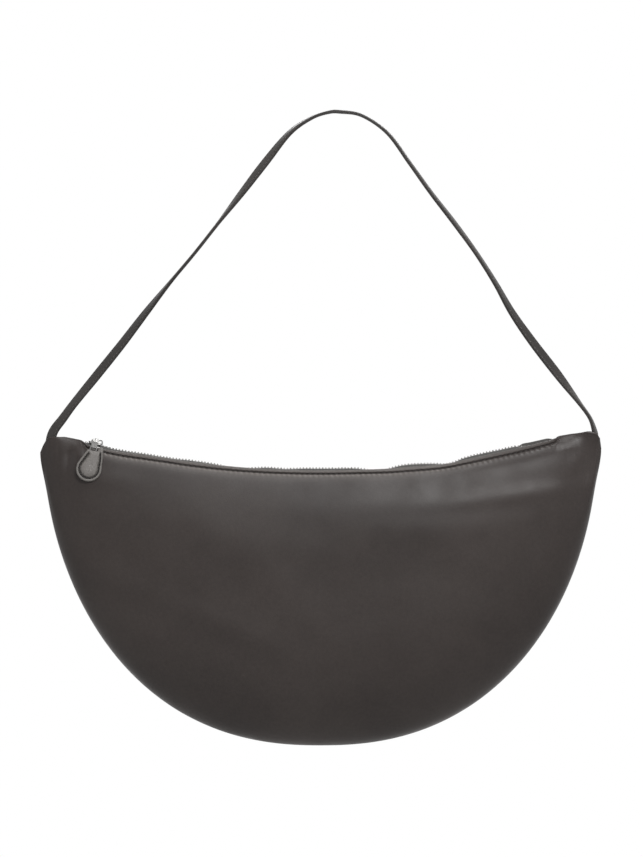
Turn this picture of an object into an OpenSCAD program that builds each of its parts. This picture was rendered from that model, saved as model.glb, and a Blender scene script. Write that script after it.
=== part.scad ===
// Half moon shoulder bag in soft leather, hung by its strap.
// The origin is the underside of the strap at its highest point.
// +X is to the right of someone who looks at the front, +Y is to the back and +Z is up.

/* [Strap] */
// Height of the strap's bend line below the hang point
strap_drop = 231.5; // [180:0.5:320]
// Distance of each strap root in from the top of its corner
root_inset = 7; // [5:0.2:12]
// Width of the strap
strap_w = 7.6; // [5:0.1:10]
// Thickness of the strap, with all its plies
strap_t = 2.2; // [1.6:0.1:3]
// Width of the tape inside the strap
strap_core_w = 4.4; // [2:0.1:5]
// Thickness of the tape inside the strap
strap_core_t = 0.5; // [0.3:0.05:0.8]
// Length of each strap end that is sewn into its corner
strap_end_len = 16; // [8:0.5:22]
// Distance of the bag's middle to the left of the hang point
bag_offset = 13; // [0:0.5:20]

/* [Bag] */
// Half the width between the tops of the two corners
corner_half = 197; // [150:0.5:260]
// How far each side swells out past the top of its corner
bag_swell = 2; // [1:0.5:12]
// How far each corner flares past the half width
corner_flare = 3.2; // [0:0.1:6]
// Height of the outline, from its widest level to the bottom
outline_depth = 214; // [150:1:300]
// Height of each corner's end edge
corner_edge = 8.6; // [4:0.1:14]
// Radius of the arc that the mouth follows
mouth_r = 715; // [500:5:1200]
// How far the front bulges at its fullest
belly = 28; // [12:0.5:45]
// Thickness of the leather
leather_t = 1.2; // [0.8:0.05:1.6]
// Thickness of the lining
lining_t = 0.6; // [0.3:0.05:0.9]

/* [Zip] */
// Distance of each end of the zip in from the top of its corner
zip_inset = 25.2; // [23:0.2:60]
// Distance of each leather lip from the middle plane
lip_half = 6.4; // [6:0.05:8]
// Distance between neighbouring teeth of one row
tooth_pitch = 2.3; // [2:0.05:4]
// Width of a tooth along the zip
tooth_w = 1.0; // [0.6:0.02:0.98]
// Height of a tooth
tooth_h = 2.0; // [1.4:0.05:2.4]
// Reach of a tooth past the middle plane
tooth_reach = 0.9; // [0.3:0.05:1]
// Thickness of the zip tape
tape_t = 0.5; // [0.3:0.05:0.6]
// Depth of the sewn part of the tape below the lip
tape_skirt = 8; // [5:0.5:12]

/* [Slider and pull] */
// Length of the slider
slider_l = 10.6; // [10:0.1:11.4]
// Width of the slider
slider_w = 8.2; // [7.4:0.1:8.4]
// Thickness of each slider plate
slider_plate_t = 0.8; // [0.5:0.05:1]
// Radius of the bar on top of the slider
crown_bar_r = 0.5; // [0.35:0.05:0.55]
// Width of the metal link
link_w = 5.0; // [3:0.1:5.6]
// Thickness of the metal link
link_t = 0.8; // [0.6:0.05:1]
// Radius of the link's lower bar
link_bar_r = 0.6; // [0.4:0.05:0.7]
// Width of the leather pull at its widest
tab_w = 18; // [14:0.5:22]
// Width of the leather pull at its top
tab_top_w = 12; // [10:0.5:14]
// Length of the leather pull below its pivot
tab_l = 24.2; // [20:0.2:30]
// Thickness of each leather ply of the pull
tab_ply_t = 1.0; // [0.6:0.05:1.2]
// Thickness of the padding in the pull
tab_pad_t = 1.2; // [0.6:0.05:1.6]

/* [Hidden] */

leather = [0.24, 0.22, 0.205];
leather_edge = [0.17, 0.155, 0.145];
lining_cloth = [0.36, 0.33, 0.30];
webbing = [0.12, 0.11, 0.11];
metal = [0.72, 0.72, 0.74];

// Clearances: between parts that only meet, and between the two halves of the seam
seat_gap = 0.3;
seam_half_gap = 0.15;
run_gap = 0.15;
overrun = 1;

// The route of the strap, as shares of root_half and of strap_drop, with its turn in degrees.
// A turn of 0 shows the face of the strap to the front and 90 shows its edge.
strap_left_shares = [
    [-1, 1, 0], [-1, 0.985, 0], [-0.97, 0.945, 25], [-0.88, 0.855, 35], [-0.79, 0.76, 25],
    [-0.7, 0.67, 35], [-0.61, 0.575, 65], [-0.51, 0.48, 85], [-0.34, 0.295, 70],
    [-0.25, 0.2, 45], [-0.155, 0.108, 50], [-0.1, 0.055, 65], [-0.012, 0.014, 82]
];
strap_right_shares = [
    [0.148, 0.014, 90], [0.245, 0.061, 78], [0.33, 0.154, 75], [0.5, 0.341, 62],
    [0.656, 0.528, 60], [0.72, 0.622, 48], [0.8, 0.715, 25], [0.88, 0.808, 30],
    [0.955, 0.902, 55], [0.99, 0.95, 35], [1, 0.985, 0], [1, 1, 0]
];
strap_steps = 3;
strap_bevel = 0.5;
strap_edge_share = 0.6;
ply_gap = 0.05;

// The round of the outline: shares that make the sides fuller than a circle
side_share = 0.861;
bottom_share = 1.036;
flare_sharpness = 200;
// The bulge between the mouth (0) and the seam (1): where it starts and how it rounds off
rise_share = 1.3;
round_share = 0.5;
bulge_peak_share = rise_share / (rise_share + round_share);
bulge_peak = pow(bulge_peak_share, rise_share) * pow(1 - bulge_peak_share, round_share);
side_fade = 1.5;
// How the wall turns from the bulge to the lip and to the seam
lip_turn_share = 0.7;
lip_turn_fade = 12;
seam_turn_middle = 11;

panel_columns = 24;
panel_rows = 14;
lining_columns = 16;
lining_rows = 10;
lining_end_share = 0.76;
lining_seam_share = 0.955;
tape_stations = 40;

root_half = corner_half - root_inset;
zip_half = corner_half - zip_inset;
bag_half_w = corner_half + bag_swell;
corner_z = -strap_drop - strap_t / 2;
widest_z = corner_z - corner_edge;
arc_z = corner_z + sqrt(mouth_r * mouth_r - corner_half * corner_half);
bottom_z = widest_z - outline_depth;

// The folded patch around each sewn strap end
patch_t = 0.6;
patch_gap = 0.2;
patch_w = 13;
patch_h = 20.5;

// Half gap between the lips at the zip, at the strap root and at the corner's end
tape_over = 4.2;
root_lip = strap_t / 2 + patch_gap + patch_t + seat_gap + leather_t;
corner_lip = 2.2;
root_inner = root_half - strap_w / 2;
root_outer = root_half + strap_w / 2;

tape_level = 2.6;
tape_gap = 1.6;
shoulder_y = 5.0;
skirt_gap = 0.35;
tooth_gap = 0.2;

// The stops, the slider at its closed end and the rows of teeth, as angles along the mouth
function arc_angle(length) = length / mouth_r * 180 / PI;
stop_l = 1.6;
stop_inset = 2.8;
stop_gap = 0.5;
post_l = 1.1;
post_w = 1.8;
stop_angle = -asin(zip_half / mouth_r) + arc_angle(stop_inset);
bottom_stop_angle = -stop_angle;
slider_angle = stop_angle + arc_angle(slider_l / 2 + stop_gap + stop_l / 2);
tooth_start = -slider_angle + arc_angle(slider_l / 2 - post_l - tooth_w / 2 - seat_gap);
tooth_step = arc_angle(tooth_pitch);
tooth_count = floor(2 * tooth_start / tooth_step);

plate_top = tape_level + tooth_h / 2 + tooth_gap + slider_plate_t;
plate_bottom = tape_level - tooth_h / 2 - tooth_gap - slider_plate_t;
plate_round_share = 0.93;
flange_w = 1.0;
bar_gap = 1.1;
bar_z = plate_top + bar_gap + crown_bar_r;
crown_l = 8.4;
crown_w = 2.4;
crown_post_l = 1.0;

ring_inner_r = crown_bar_r + run_gap;
ring_wall = 0.7;
ring_outer_r = ring_inner_r + ring_wall;
ring_l = 2.4;
pivot_y = -10.2;
pivot_z = -1.0;
tab_lean = 9;
arm_wall = 0.3;
arm_r = link_bar_r + arm_wall;
knuckle_bore_r = link_bar_r + run_gap;
knuckle_wall = 0.55;
knuckle_r = knuckle_bore_r + knuckle_wall;
knuckle_l = 3.6;
arm_gap = 0.2;
arm_w = 0.8;
shoulder_z = -1.2;
tab_corner_r = 1.5;
tab_pad_inset = 2.2;

cap_t = 0.75;
cap_height = 4.7;
cap_low_height = 2.2;
cap_stations = 8;
cap_shoulder_share = 0.82;
cap_foot = 0.2;

// Two lists of rows of points make one closed wall: the outer skin and the inner skin
module wall(outer, inner) {
    n = len(outer);
    m = len(outer[0]);
    points = [for (skin = [outer, inner]) for (row = skin) for (p = row) p];
    function at(i, j) = i * m + j;
    function inside(i, j) = n * m + i * m + j;
    skins = [for (i = [0 : n - 2]) for (j = [0 : m - 2]) each [
        [at(i, j), at(i + 1, j), at(i + 1, j + 1)],
        [at(i, j), at(i + 1, j + 1), at(i, j + 1)],
        [inside(i, j), inside(i + 1, j + 1), inside(i + 1, j)],
        [inside(i, j), inside(i, j + 1), inside(i + 1, j + 1)]
    ]];
    ends = [for (j = [0 : m - 2]) each [
        [at(0, j), at(0, j + 1), inside(0, j + 1)],
        [at(0, j), inside(0, j + 1), inside(0, j)],
        [at(n - 1, j + 1), at(n - 1, j), inside(n - 1, j)],
        [at(n - 1, j + 1), inside(n - 1, j), inside(n - 1, j + 1)]
    ]];
    rims = [for (i = [0 : n - 2]) each [
        [at(i + 1, 0), at(i, 0), inside(i, 0)],
        [at(i + 1, 0), inside(i, 0), inside(i + 1, 0)],
        [at(i, m - 1), at(i + 1, m - 1), inside(i + 1, m - 1)],
        [at(i, m - 1), inside(i + 1, m - 1), inside(i, m - 1)]
    ]];
    polyhedron(points = points, faces = concat(skins, ends, rims));
}

// The outline and the mouth, for u from -1 at the left corner to 1 at the right one
function top_x(u) = corner_half * sin(90 * u);
function top_z(u) = arc_z - sqrt(mouth_r * mouth_r - top_x(u) * top_x(u));
function seam_x(u) =
    sign(u) * (bag_half_w * pow(abs(sin(90 * u)), side_share)
        + corner_flare * pow(abs(sin(90 * u)), flare_sharpness));
function seam_z(u) = widest_z - outline_depth * pow(abs(cos(90 * u)), bottom_share);
function column_len(u) = norm([seam_x(u) - top_x(u), seam_z(u) - top_z(u)]);

function mix(a, b, share) = a + (b - a) * share;
function clamp_share(x) = min(max(x, 0), 1);
function lip(u) =
    let (x = abs(top_x(u)), first = zip_half + tape_over)
    x < root_outer
        ? mix(lip_half, root_lip, clamp_share((x - first) / (root_inner - first)))
        : mix(root_lip, corner_lip, clamp_share((x - root_outer) / (corner_half - root_outer)));

// Distance of the outer skin from the middle plane, for v from 0 at the mouth to 1 at the seam
function half_depth(u, v) =
    seam_half_gap
    + (lip(u) - seam_half_gap) * sqrt(1 - v)
    + belly * pow(abs(cos(90 * u)), side_fade) * pow(v, rise_share) * pow(1 - v, round_share)
        / bulge_peak;

// The direction of the wall's thickness, in from the seam and down from the lip
seam_probe = 0.002;
function seam_inward(u) =
    let (
        a = max(u - seam_probe, -1),
        b = min(u + seam_probe, 1),
        d = [seam_x(b) - seam_x(a), seam_z(b) - seam_z(a)]
    )
    [-d.y, d.x] / norm(d);
function column_way(u) = [seam_x(u) - top_x(u), seam_z(u) - top_z(u)] / column_len(u);
function wall_way(u, v) =
    let (
        c = pow(v, 1 + seam_turn_middle * abs(cos(90 * u))),
        a = lip_turn_share * pow(1 - v, lip_turn_fade),
        flat = seam_inward(u) * c + column_way(u) * a,
        left = max(1 - flat * flat, 0)
    )
    [flat.x, sqrt(left), flat.y];
function skin_point(u, v, depth) =
    [
        mix(top_x(u), seam_x(u), v),
        -half_depth(u, v),
        mix(top_z(u), seam_z(u), v)
    ] + depth * wall_way(u, v);

function even_shares(count) = [for (i = [-count : count]) i / count];
function end_shares(count) = [for (j = [0 : count]) (1 - cos(180 * j / count)) / 2];

// A panel that lies between two depths below the outer skin
module panel_skin(columns, rows, end_share, first_depth, seam_v, outer_depth, inner_depth) {
    us = [for (s = even_shares(columns)) s * end_share];
    vs = end_shares(rows);
    skins = [for (depth = [outer_depth, inner_depth])
        [for (u = us) [for (s = vs)
            skin_point(u, mix(first_depth / column_len(u), seam_v, s), depth)]]];
    wall(skins[0], skins[1]);
}

module on_bag() {
    translate([-bag_offset, 0, 0]) children();
}

// Puts a shape at an angle along the mouth's arc: its z is the height above the lips' line
module at_arc(angle) {
    translate([0, 0, arc_z]) rotate([0, -angle, 0]) translate([0, 0, -mouth_r]) children();
}

// Strap
function catmull(a, b, c, d, t) =
    0.5 * (2 * b + (c - a) * t + (2 * a - 5 * b + 4 * c - d) * t * t
        + (3 * b - a - 3 * c + d) * t * t * t);
function strap_place(p) = [p.x * root_half, strap_t / 2 - p.y * (strap_drop - seat_gap), p.z];
strap_points = concat(
    [for (p = strap_left_shares) strap_place(p)],
    [[bag_offset, strap_t / 2, 90]],
    [for (p = strap_right_shares) strap_place(p)]
);
strap_last = len(strap_points) - 1;
strap_line = concat(
    [for (i = [0 : strap_last - 1]) for (k = [0 : strap_steps - 1])
        catmull(
            strap_points[max(i - 1, 0)], strap_points[i], strap_points[i + 1],
            strap_points[min(i + 2, strap_last)], k / strap_steps
        )],
    [strap_points[strap_last]]
);

module strap_ply(outer, inner) {
    last = len(strap_line) - 1;
    frames = [for (i = [0 : last])
        let (
            p = strap_line[i],
            q = strap_line[min(i + 1, last)] - strap_line[max(i - 1, 0)],
            way = i == 0 ? [0, 1] : i == last ? [0, -1] : [q.x, q.y] / norm([q.x, q.y]),
            across = cos(p.z) * [-way.y, 0, way.x] + sin(p.z) * [0, 1, 0],
            through = cross([way.x, 0, way.y], across)
        )
        [[p.x, 0, p.y], across, through]];
    skins = [for (chain = [outer, inner])
        [for (f = frames) [for (c = chain) f[0] + c.x * f[1] + c.y * f[2]]]];
    wall(skins[1], skins[0]);
}

module strap_half(side) {
    w = strap_w / 2;
    t = side * strap_t / 2;
    cw = strap_core_w / 2;
    ct = side * strap_core_t / 2;
    edge = strap_edge_share * t;
    gap = side * ply_gap;
    outer = [
        [-w, gap], [-w, edge], [-w + strap_bevel, t], [w - strap_bevel, t], [w, edge], [w, gap]
    ];
    inner = [
        [-cw, gap], [-cw, ct], [-cw / 2, ct], [cw / 2, ct], [cw, ct], [cw, gap]
    ];
    if (side > 0)
        strap_ply(outer, inner);
    else
        strap_ply(inner, outer);
}

module strap_face() {
    color(leather) on_bag() strap_half(1);
}

module strap_core() {
    cw = strap_core_w / 2;
    ct = strap_core_t / 2;
    color(webbing) on_bag()
        strap_ply(
            [for (x = [-cw, -cw / 2, cw / 2, cw]) [x, ct]],
            [for (x = [-cw, -cw / 2, cw / 2, cw]) [x, -ct]]
        );
}

module strap_backing() {
    color(leather_edge) on_bag() strap_half(-1);
}

module strap_end(side) {
    translate([side * root_half, 0, -strap_drop]) {
        rotate([0, 90, 0]) cylinder(h = strap_w, r = strap_t / 2, center = true, $fn = 32);
        translate([-strap_w / 2, -strap_t / 2, -strap_end_len])
            cube([strap_w, strap_t, strap_end_len]);
    }
}

module left_strap_end() {
    color(leather) on_bag() strap_end(-1);
}

module right_strap_end() {
    color(leather) on_bag() strap_end(1);
}

// A folded patch that holds the strap's sewn end inside the corner
module corner_patch(side) {
    inner = strap_t / 2 + patch_gap;
    middle = root_outer - patch_w / 2;
    end = middle - patch_w / 2;
    top = arc_z - sqrt(mouth_r * mouth_r - end * end) - seat_gap;
    translate([side * middle, 0, top]) difference() {
        translate([-patch_w / 2, -inner - patch_t, -patch_h])
            cube([patch_w, 2 * (inner + patch_t), patch_h]);
        translate([-patch_w / 2 - overrun, -inner, -patch_h + patch_t])
            cube([patch_w + 2 * overrun, 2 * inner, patch_h + overrun]);
    }
}

module left_corner_patch() {
    color(webbing) on_bag() corner_patch(-1);
}

module right_corner_patch() {
    color(webbing) on_bag() corner_patch(1);
}

// Panels and linings
module outer_leather() {
    panel_skin(panel_columns, panel_rows, 1, 0, 1, 0, leather_t);
}

module lining_skin() {
    outer = leather_t + 2 * seat_gap;
    panel_skin(
        lining_columns, lining_rows, lining_end_share, tape_skirt + seat_gap,
        lining_seam_share, outer, outer + lining_t
    );
}

module front_panel() {
    color(leather) on_bag() outer_leather();
}

module back_panel() {
    color(leather) on_bag() mirror([0, 1, 0]) outer_leather();
}

module front_lining() {
    color(lining_cloth) on_bag() lining_skin();
}

module back_lining() {
    color(lining_cloth) on_bag() mirror([0, 1, 0]) lining_skin();
}

// Zip
function arc_place(angle, y, up) =
    [(mouth_r - up) * sin(angle), y, arc_z - (mouth_r - up) * cos(angle)];
function arc_u(angle) = asin(mouth_r * sin(angle) / corner_half) / 90;

module zip_tape() {
    half_angle = asin((zip_half + tape_over) / mouth_r);
    angles = [for (s = even_shares(tape_stations / 2)) s * half_angle];
    depth = leather_t + skirt_gap;
    up = tape_level + tape_t / 2;
    fold_share = 0.004;
    outer = [for (a = angles) let (u = arc_u(a)) [
        arc_place(a, -tape_gap, up),
        arc_place(a, -shoulder_y, up),
        skin_point(u, fold_share, depth),
        skin_point(u, tape_skirt / column_len(u), depth)
    ]];
    inner = [for (a = angles) let (u = arc_u(a)) [
        arc_place(a, -tape_gap, up - tape_t),
        arc_place(a, -shoulder_y + tape_t, up - tape_t),
        skin_point(u, fold_share, depth + tape_t),
        skin_point(u, tape_skirt / column_len(u), depth + tape_t)
    ]];
    wall(outer, inner);
}

module tooth_row(first, count) {
    for (i = [0 : count - 1])
        at_arc(first + i * tooth_step)
            translate([-tooth_w / 2, -tape_gap, tape_level - tooth_h / 2])
                cube([tooth_w, tape_gap + tooth_reach, tooth_h]);
}

module front_zip_tape() {
    color(webbing) on_bag() zip_tape();
}

module back_zip_tape() {
    color(webbing) on_bag() mirror([0, 1, 0]) zip_tape();
}

module front_zip_teeth() {
    color(metal) on_bag() tooth_row(-tooth_start, tooth_count);
}

module back_zip_teeth() {
    color(metal) on_bag() mirror([0, 1, 0])
        tooth_row(-tooth_start + tooth_step / 2, tooth_count - 1);
}

// A clamp on the tape's edge that keeps the slider from running off
module top_stop() {
    at_arc(stop_angle)
        translate([-stop_l / 2, -tape_gap, tape_level - tooth_h / 2])
            cube([stop_l, tape_gap - seam_half_gap, tooth_h]);
}

module front_top_stop() {
    color(metal) on_bag() top_stop();
}

module back_top_stop() {
    color(metal) on_bag() mirror([0, 1, 0]) top_stop();
}

module zip_bottom_stop() {
    color(metal) on_bag() at_arc(bottom_stop_angle)
        translate([-stop_l / 2, -tape_gap, tape_level - tooth_h / 2])
            cube([stop_l, 2 * tape_gap, tooth_h]);
}

// The saddle of leather that closes the mouth between the zip's end and the strap's root
module zip_end_cap(side) {
    first = asin(zip_half / mouth_r);
    last = asin((root_inner - 2 * seat_gap) / mouth_r);
    angles = [for (i = [0 : cap_stations]) side * mix(first, last, i / cap_stations)];
    rows = [for (a = angles)
        let (
            w = lip(arc_u(a)),
            taper = clamp_share((lip_half - w) / (lip_half - root_lip)),
            h = mix(cap_height, cap_low_height, taper)
        )
        [w, h]];
    function arch(i, w, h, foot) = [
        arc_place(angles[i], -w, seat_gap),
        arc_place(angles[i], -w + foot, h * cap_shoulder_share),
        arc_place(angles[i], 0, h),
        arc_place(angles[i], w - foot, h * cap_shoulder_share),
        arc_place(angles[i], w, seat_gap)
    ];
    outer = [for (i = [0 : cap_stations]) arch(i, rows[i][0], rows[i][1], cap_foot)];
    inner = [for (i = [0 : cap_stations])
        arch(i, rows[i][0] - cap_t, rows[i][1] - cap_t, cap_foot)];
    if (side > 0)
        wall(inner, outer);
    else
        wall(outer, inner);
}

module left_zip_end_cap() {
    color(leather) on_bag() zip_end_cap(-1);
}

module right_zip_end_cap() {
    color(leather) on_bag() zip_end_cap(1);
}

// Slider
module slider_plate() {
    linear_extrude(slider_plate_t) intersection() {
        square([slider_l, slider_w], center = true);
        circle(d = norm([slider_l, slider_w]) * plate_round_share, $fn = 48);
    }
}

module slider_flange(side, low, high) {
    l = slider_l - 2 * flange_w;
    y = side * (slider_w - flange_w) / 2;
    translate([-l / 2, y - flange_w / 2, low]) cube([l, flange_w, high - low]);
}

module slider_body() {
    tape_low = tape_level - tape_t / 2 - seat_gap;
    tape_high = tape_level + tape_t / 2 + seat_gap;
    color(metal) on_bag() at_arc(slider_angle) {
        translate([0, 0, plate_top - slider_plate_t]) slider_plate();
        translate([0, 0, plate_bottom]) slider_plate();
        for (side = [-1, 1]) {
            slider_flange(side, tape_high, plate_top - slider_plate_t / 2);
            slider_flange(side, plate_bottom + slider_plate_t / 2, tape_low);
        }
        translate([-slider_l / 2, -post_w / 2, plate_bottom])
            cube([post_l, post_w, plate_top - plate_bottom]);
    }
}

module slider_crown() {
    color(metal) on_bag() at_arc(slider_angle) {
        translate([0, 0, bar_z]) rotate([0, 90, 0])
            cylinder(h = crown_l - crown_post_l, r = crown_bar_r, center = true, $fn = 32);
        for (side = [-1, 1])
            translate([side * (crown_l - crown_post_l) / 2, 0, plate_top])
                translate([-crown_post_l / 2, -crown_w / 2, 0])
                    cube([crown_post_l, crown_w, bar_z - plate_top + crown_bar_r]);
    }
}

// Pull
module pull_link() {
    plate_y = pivot_y + link_t / 2;
    bend_z = bar_z - ring_inner_r - link_t / 2;
    neck_y = slider_w / 2 - link_t;
    plate_end = pivot_z + knuckle_r + seat_gap;
    color(metal) on_bag() at_arc(slider_angle) {
        difference() {
            union() {
                translate([0, 0, bar_z]) rotate([0, 90, 0])
                    cylinder(h = ring_l, r = ring_outer_r, center = true, $fn = 40);
                translate([-ring_l / 2, 0, 0]) rotate([90, 0, 90]) linear_extrude(ring_l)
                    polygon([
                        [0, bar_z + ring_outer_r], [0, bar_z], [-neck_y, bend_z],
                        [-slider_w / 2, bend_z], [-slider_w / 2, bend_z + link_t],
                        [-neck_y, bend_z + link_t]
                    ]);
            }
            translate([0, 0, bar_z]) rotate([0, 90, 0])
                cylinder(h = ring_l + overrun, r = ring_inner_r, center = true, $fn = 40);
        }
        translate([-link_w / 2, 0, 0]) rotate([90, 0, 90]) linear_extrude(link_w)
            polygon([
                [-neck_y, bend_z + link_t], [-neck_y, bend_z], [plate_y, bend_z],
                [plate_y, plate_end], [plate_y - link_t, plate_end],
                [plate_y - link_t, bend_z + link_t]
            ]);
        for (side = [-1, 1])
            translate([side * (knuckle_l / 2 + arm_gap + arm_w / 2), pivot_y, 0]) {
                translate([-arm_w / 2, -link_t / 2, pivot_z])
                    cube([arm_w, link_t, plate_end - pivot_z + link_t]);
                translate([0, 0, pivot_z]) rotate([0, 90, 0])
                    cylinder(h = arm_w, r = arm_r, center = true, $fn = 32);
            }
        translate([0, pivot_y, pivot_z]) rotate([0, 90, 0])
            cylinder(h = knuckle_l + 2 * arm_gap + arm_w, r = link_bar_r, center = true, $fn = 32);
    }
}

module at_tab() {
    on_bag() at_arc(slider_angle) translate([0, pivot_y, pivot_z]) rotate([-tab_lean, 0, 0])
        children();
}

// The drop shape of the pull, drawn in by an inset
module tab_outline(inset) {
    r = tab_w / 2;
    hull() {
        translate([0, -tab_l + r]) circle(r = r - inset, $fn = 32);
        for (side = [-1, 1])
            translate([side * (tab_top_w / 2 - tab_corner_r), shoulder_z - tab_corner_r - inset])
                circle(r = tab_corner_r, $fn = 32);
    }
}

module tab_slab(inset, first, last) {
    translate([0, last, 0]) rotate([90, 0, 0]) linear_extrude(last - first) tab_outline(inset);
}

tab_front_y = -tab_pad_t / 2 - tab_ply_t;
tab_split_y = tab_pad_t / 2;
tab_back_y = tab_split_y + tab_ply_t;

module tab_front_leather() {
    notch = knuckle_l / 2 + arm_gap;
    color(leather) at_tab() difference() {
        tab_slab(0, tab_front_y, tab_split_y);
        tab_slab(tab_pad_inset, -tab_pad_t / 2, tab_split_y + overrun);
        translate([-notch, tab_front_y - overrun, -knuckle_r - seat_gap])
            cube([2 * notch, tab_split_y - tab_front_y + 2 * overrun, 2 * knuckle_r]);
    }
}

module tab_padding() {
    color(webbing) at_tab() tab_slab(tab_pad_inset, -tab_pad_t / 2, tab_split_y);
}

module tab_back_leather() {
    color(leather_edge) at_tab() difference() {
        union() {
            tab_slab(0, tab_split_y, tab_back_y);
            rotate([0, 90, 0]) cylinder(h = knuckle_l, r = knuckle_r, center = true, $fn = 40);
            translate([-knuckle_l / 2, tab_split_y, -tab_pad_inset - tab_corner_r])
                cube([knuckle_l, knuckle_r - tab_split_y, tab_pad_inset + tab_corner_r]);
        }
        rotate([0, 90, 0])
            cylinder(h = knuckle_l + overrun, r = knuckle_bore_r, center = true, $fn = 40);
    }
}

strap_face();
strap_core();
strap_backing();
front_panel();
front_lining();
front_zip_tape();
front_zip_teeth();
front_top_stop();
zip_bottom_stop();
left_zip_end_cap();
right_zip_end_cap();
left_strap_end();
right_strap_end();
left_corner_patch();
right_corner_patch();
back_panel();
back_lining();
back_zip_tape();
back_zip_teeth();
back_top_stop();
slider_body();
slider_crown();
pull_link();
tab_front_leather();
tab_back_leather();
tab_padding();
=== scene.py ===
import math

import bpy
import numpy as np
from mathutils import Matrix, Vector
from mathutils.geometry import tessellate_polygon


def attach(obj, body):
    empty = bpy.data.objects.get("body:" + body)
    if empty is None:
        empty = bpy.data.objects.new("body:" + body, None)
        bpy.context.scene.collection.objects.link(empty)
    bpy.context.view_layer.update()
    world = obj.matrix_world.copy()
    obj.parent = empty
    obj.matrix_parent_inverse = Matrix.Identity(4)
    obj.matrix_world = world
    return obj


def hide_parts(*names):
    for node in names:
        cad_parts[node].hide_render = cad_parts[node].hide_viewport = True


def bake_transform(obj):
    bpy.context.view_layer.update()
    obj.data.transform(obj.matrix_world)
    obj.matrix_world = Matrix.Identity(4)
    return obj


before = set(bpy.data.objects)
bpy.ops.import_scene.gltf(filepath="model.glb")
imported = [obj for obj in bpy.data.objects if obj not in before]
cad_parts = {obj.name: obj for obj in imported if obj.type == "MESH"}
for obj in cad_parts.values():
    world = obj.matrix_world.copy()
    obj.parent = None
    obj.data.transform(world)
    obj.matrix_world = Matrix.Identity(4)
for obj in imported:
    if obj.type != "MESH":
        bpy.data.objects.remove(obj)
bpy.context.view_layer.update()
toMetres = 0.001  # sizes below are in millimetres, and meshes are made in metres

# The half moon, as in the part: x runs from the bag's middle, and z from the hang point
bagShape = {
    "middle": -13.0,
    "cornerHalf": 197.0,
    "halfWidth": 199.0,
    "cornerFlare": 3.2,
    "flareSharpness": 200.0,
    "sideShare": 0.861,
    "outlineDepth": 214.0,
    "bottomShare": 1.036,
    "cornerZ": -232.6,
    "cornerEdge": 8.6,
    "mouthRadius": 715.0,
    "belly": 28.0,
    "riseShare": 1.3,
    "roundShare": 0.5,
    "sideFade": 1.5,
    "lipHalf": 6.4,
    "rootLip": 3.4,
    "cornerLip": 2.2,
    "lipTurnsAt": 176.0,
    "rootInner": 186.2,
    "rootOuter": 193.8,
    "seamHalfGap": 0.15,
    "bendHalf": 164.0,
}
arcZ = bagShape["cornerZ"] + math.sqrt(bagShape["mouthRadius"] ** 2 - bagShape["cornerHalf"] ** 2)
sides = {"left": -1, "right": 1}


def mix(a, b, share):
    return a + (b - a) * share


def smooth(x, first=0.0, last=1.0):
    t = np.clip((np.asarray(x, float) - first) / (last - first), 0, 1)
    return t * t * (3 - 2 * t)


def hump(x, middle, width):
    return np.exp(-(((np.asarray(x, float) - middle) / width) ** 2))


def tableAt(table, x):
    return np.interp(x, *zip(*table))


# Shifts and their weights
softCorner = ((-1, 0.1), (-0.6, 0.2), (-0.2, 0.2), (0.2, 0.2), (0.6, 0.2), (1, 0.1))


def eased(line, x, reach, weights=softCorner):
    # A line with its corners rounded over that many millimetres
    return sum(weight * line(np.asarray(x, float) + shift * reach) for shift, weight in weights)


def easedTable(table, x, reach):
    return eased(lambda at: tableAt(table, at), x, reach)


def cosSin(degrees):
    angle = math.radians(degrees)
    return math.cos(angle), math.sin(angle)


def unit(vectors):
    return vectors / np.maximum(np.linalg.norm(vectors, axis=-1, keepdims=True), 1e-9)


# Meshes


def inScene(name, data):
    piece = bpy.data.objects.new(name, data)
    bpy.context.scene.collection.objects.link(piece)
    return piece


def meshPiece(name, finish, points, faces, uv=None):
    points = np.asarray(points, float).reshape(-1, 3) * toMetres
    mesh = bpy.data.meshes.new(name)
    mesh.from_pydata(points.tolist(), [], faces)
    mesh.update()
    if uv is not None:
        layer = mesh.uv_layers.new(name="UVMap")
        layer.data.foreach_set("uv", np.asarray(uv, np.float32).ravel() * toMetres)
    mesh.shade_smooth()
    mesh.materials.append(finish.material)
    return inScene(name, mesh)


def signedVolume(points, faces):
    total = 0.0
    for count in (3, 4):
        part = np.array([face for face in faces if len(face) == count], int).reshape(-1, count)
        for k in range(1, count - 1):
            a, b, c = points[part[:, 0]], points[part[:, k]], points[part[:, k + 1]]
            total += float(np.einsum("ij,ij->i", a, np.cross(b, c)).sum())
    return total


def flatEnd(ring, ahead):
    # Triangles across a ring of any outline, whose outer edges run ahead round the ring or back
    m = len(ring)
    fill = [list(face) for face in tessellate_polygon([[Vector(p) for p in ring]])]
    ways = {(b - a) % m for face in fill for a, b in zip(face, face[1:] + face[:1])} & {1, m - 1}
    if len(fill) != m - 2 or len(ways) != 1:
        return None
    return fill if ways == {1 if ahead else m - 1} else [face[::-1] for face in fill]


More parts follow.
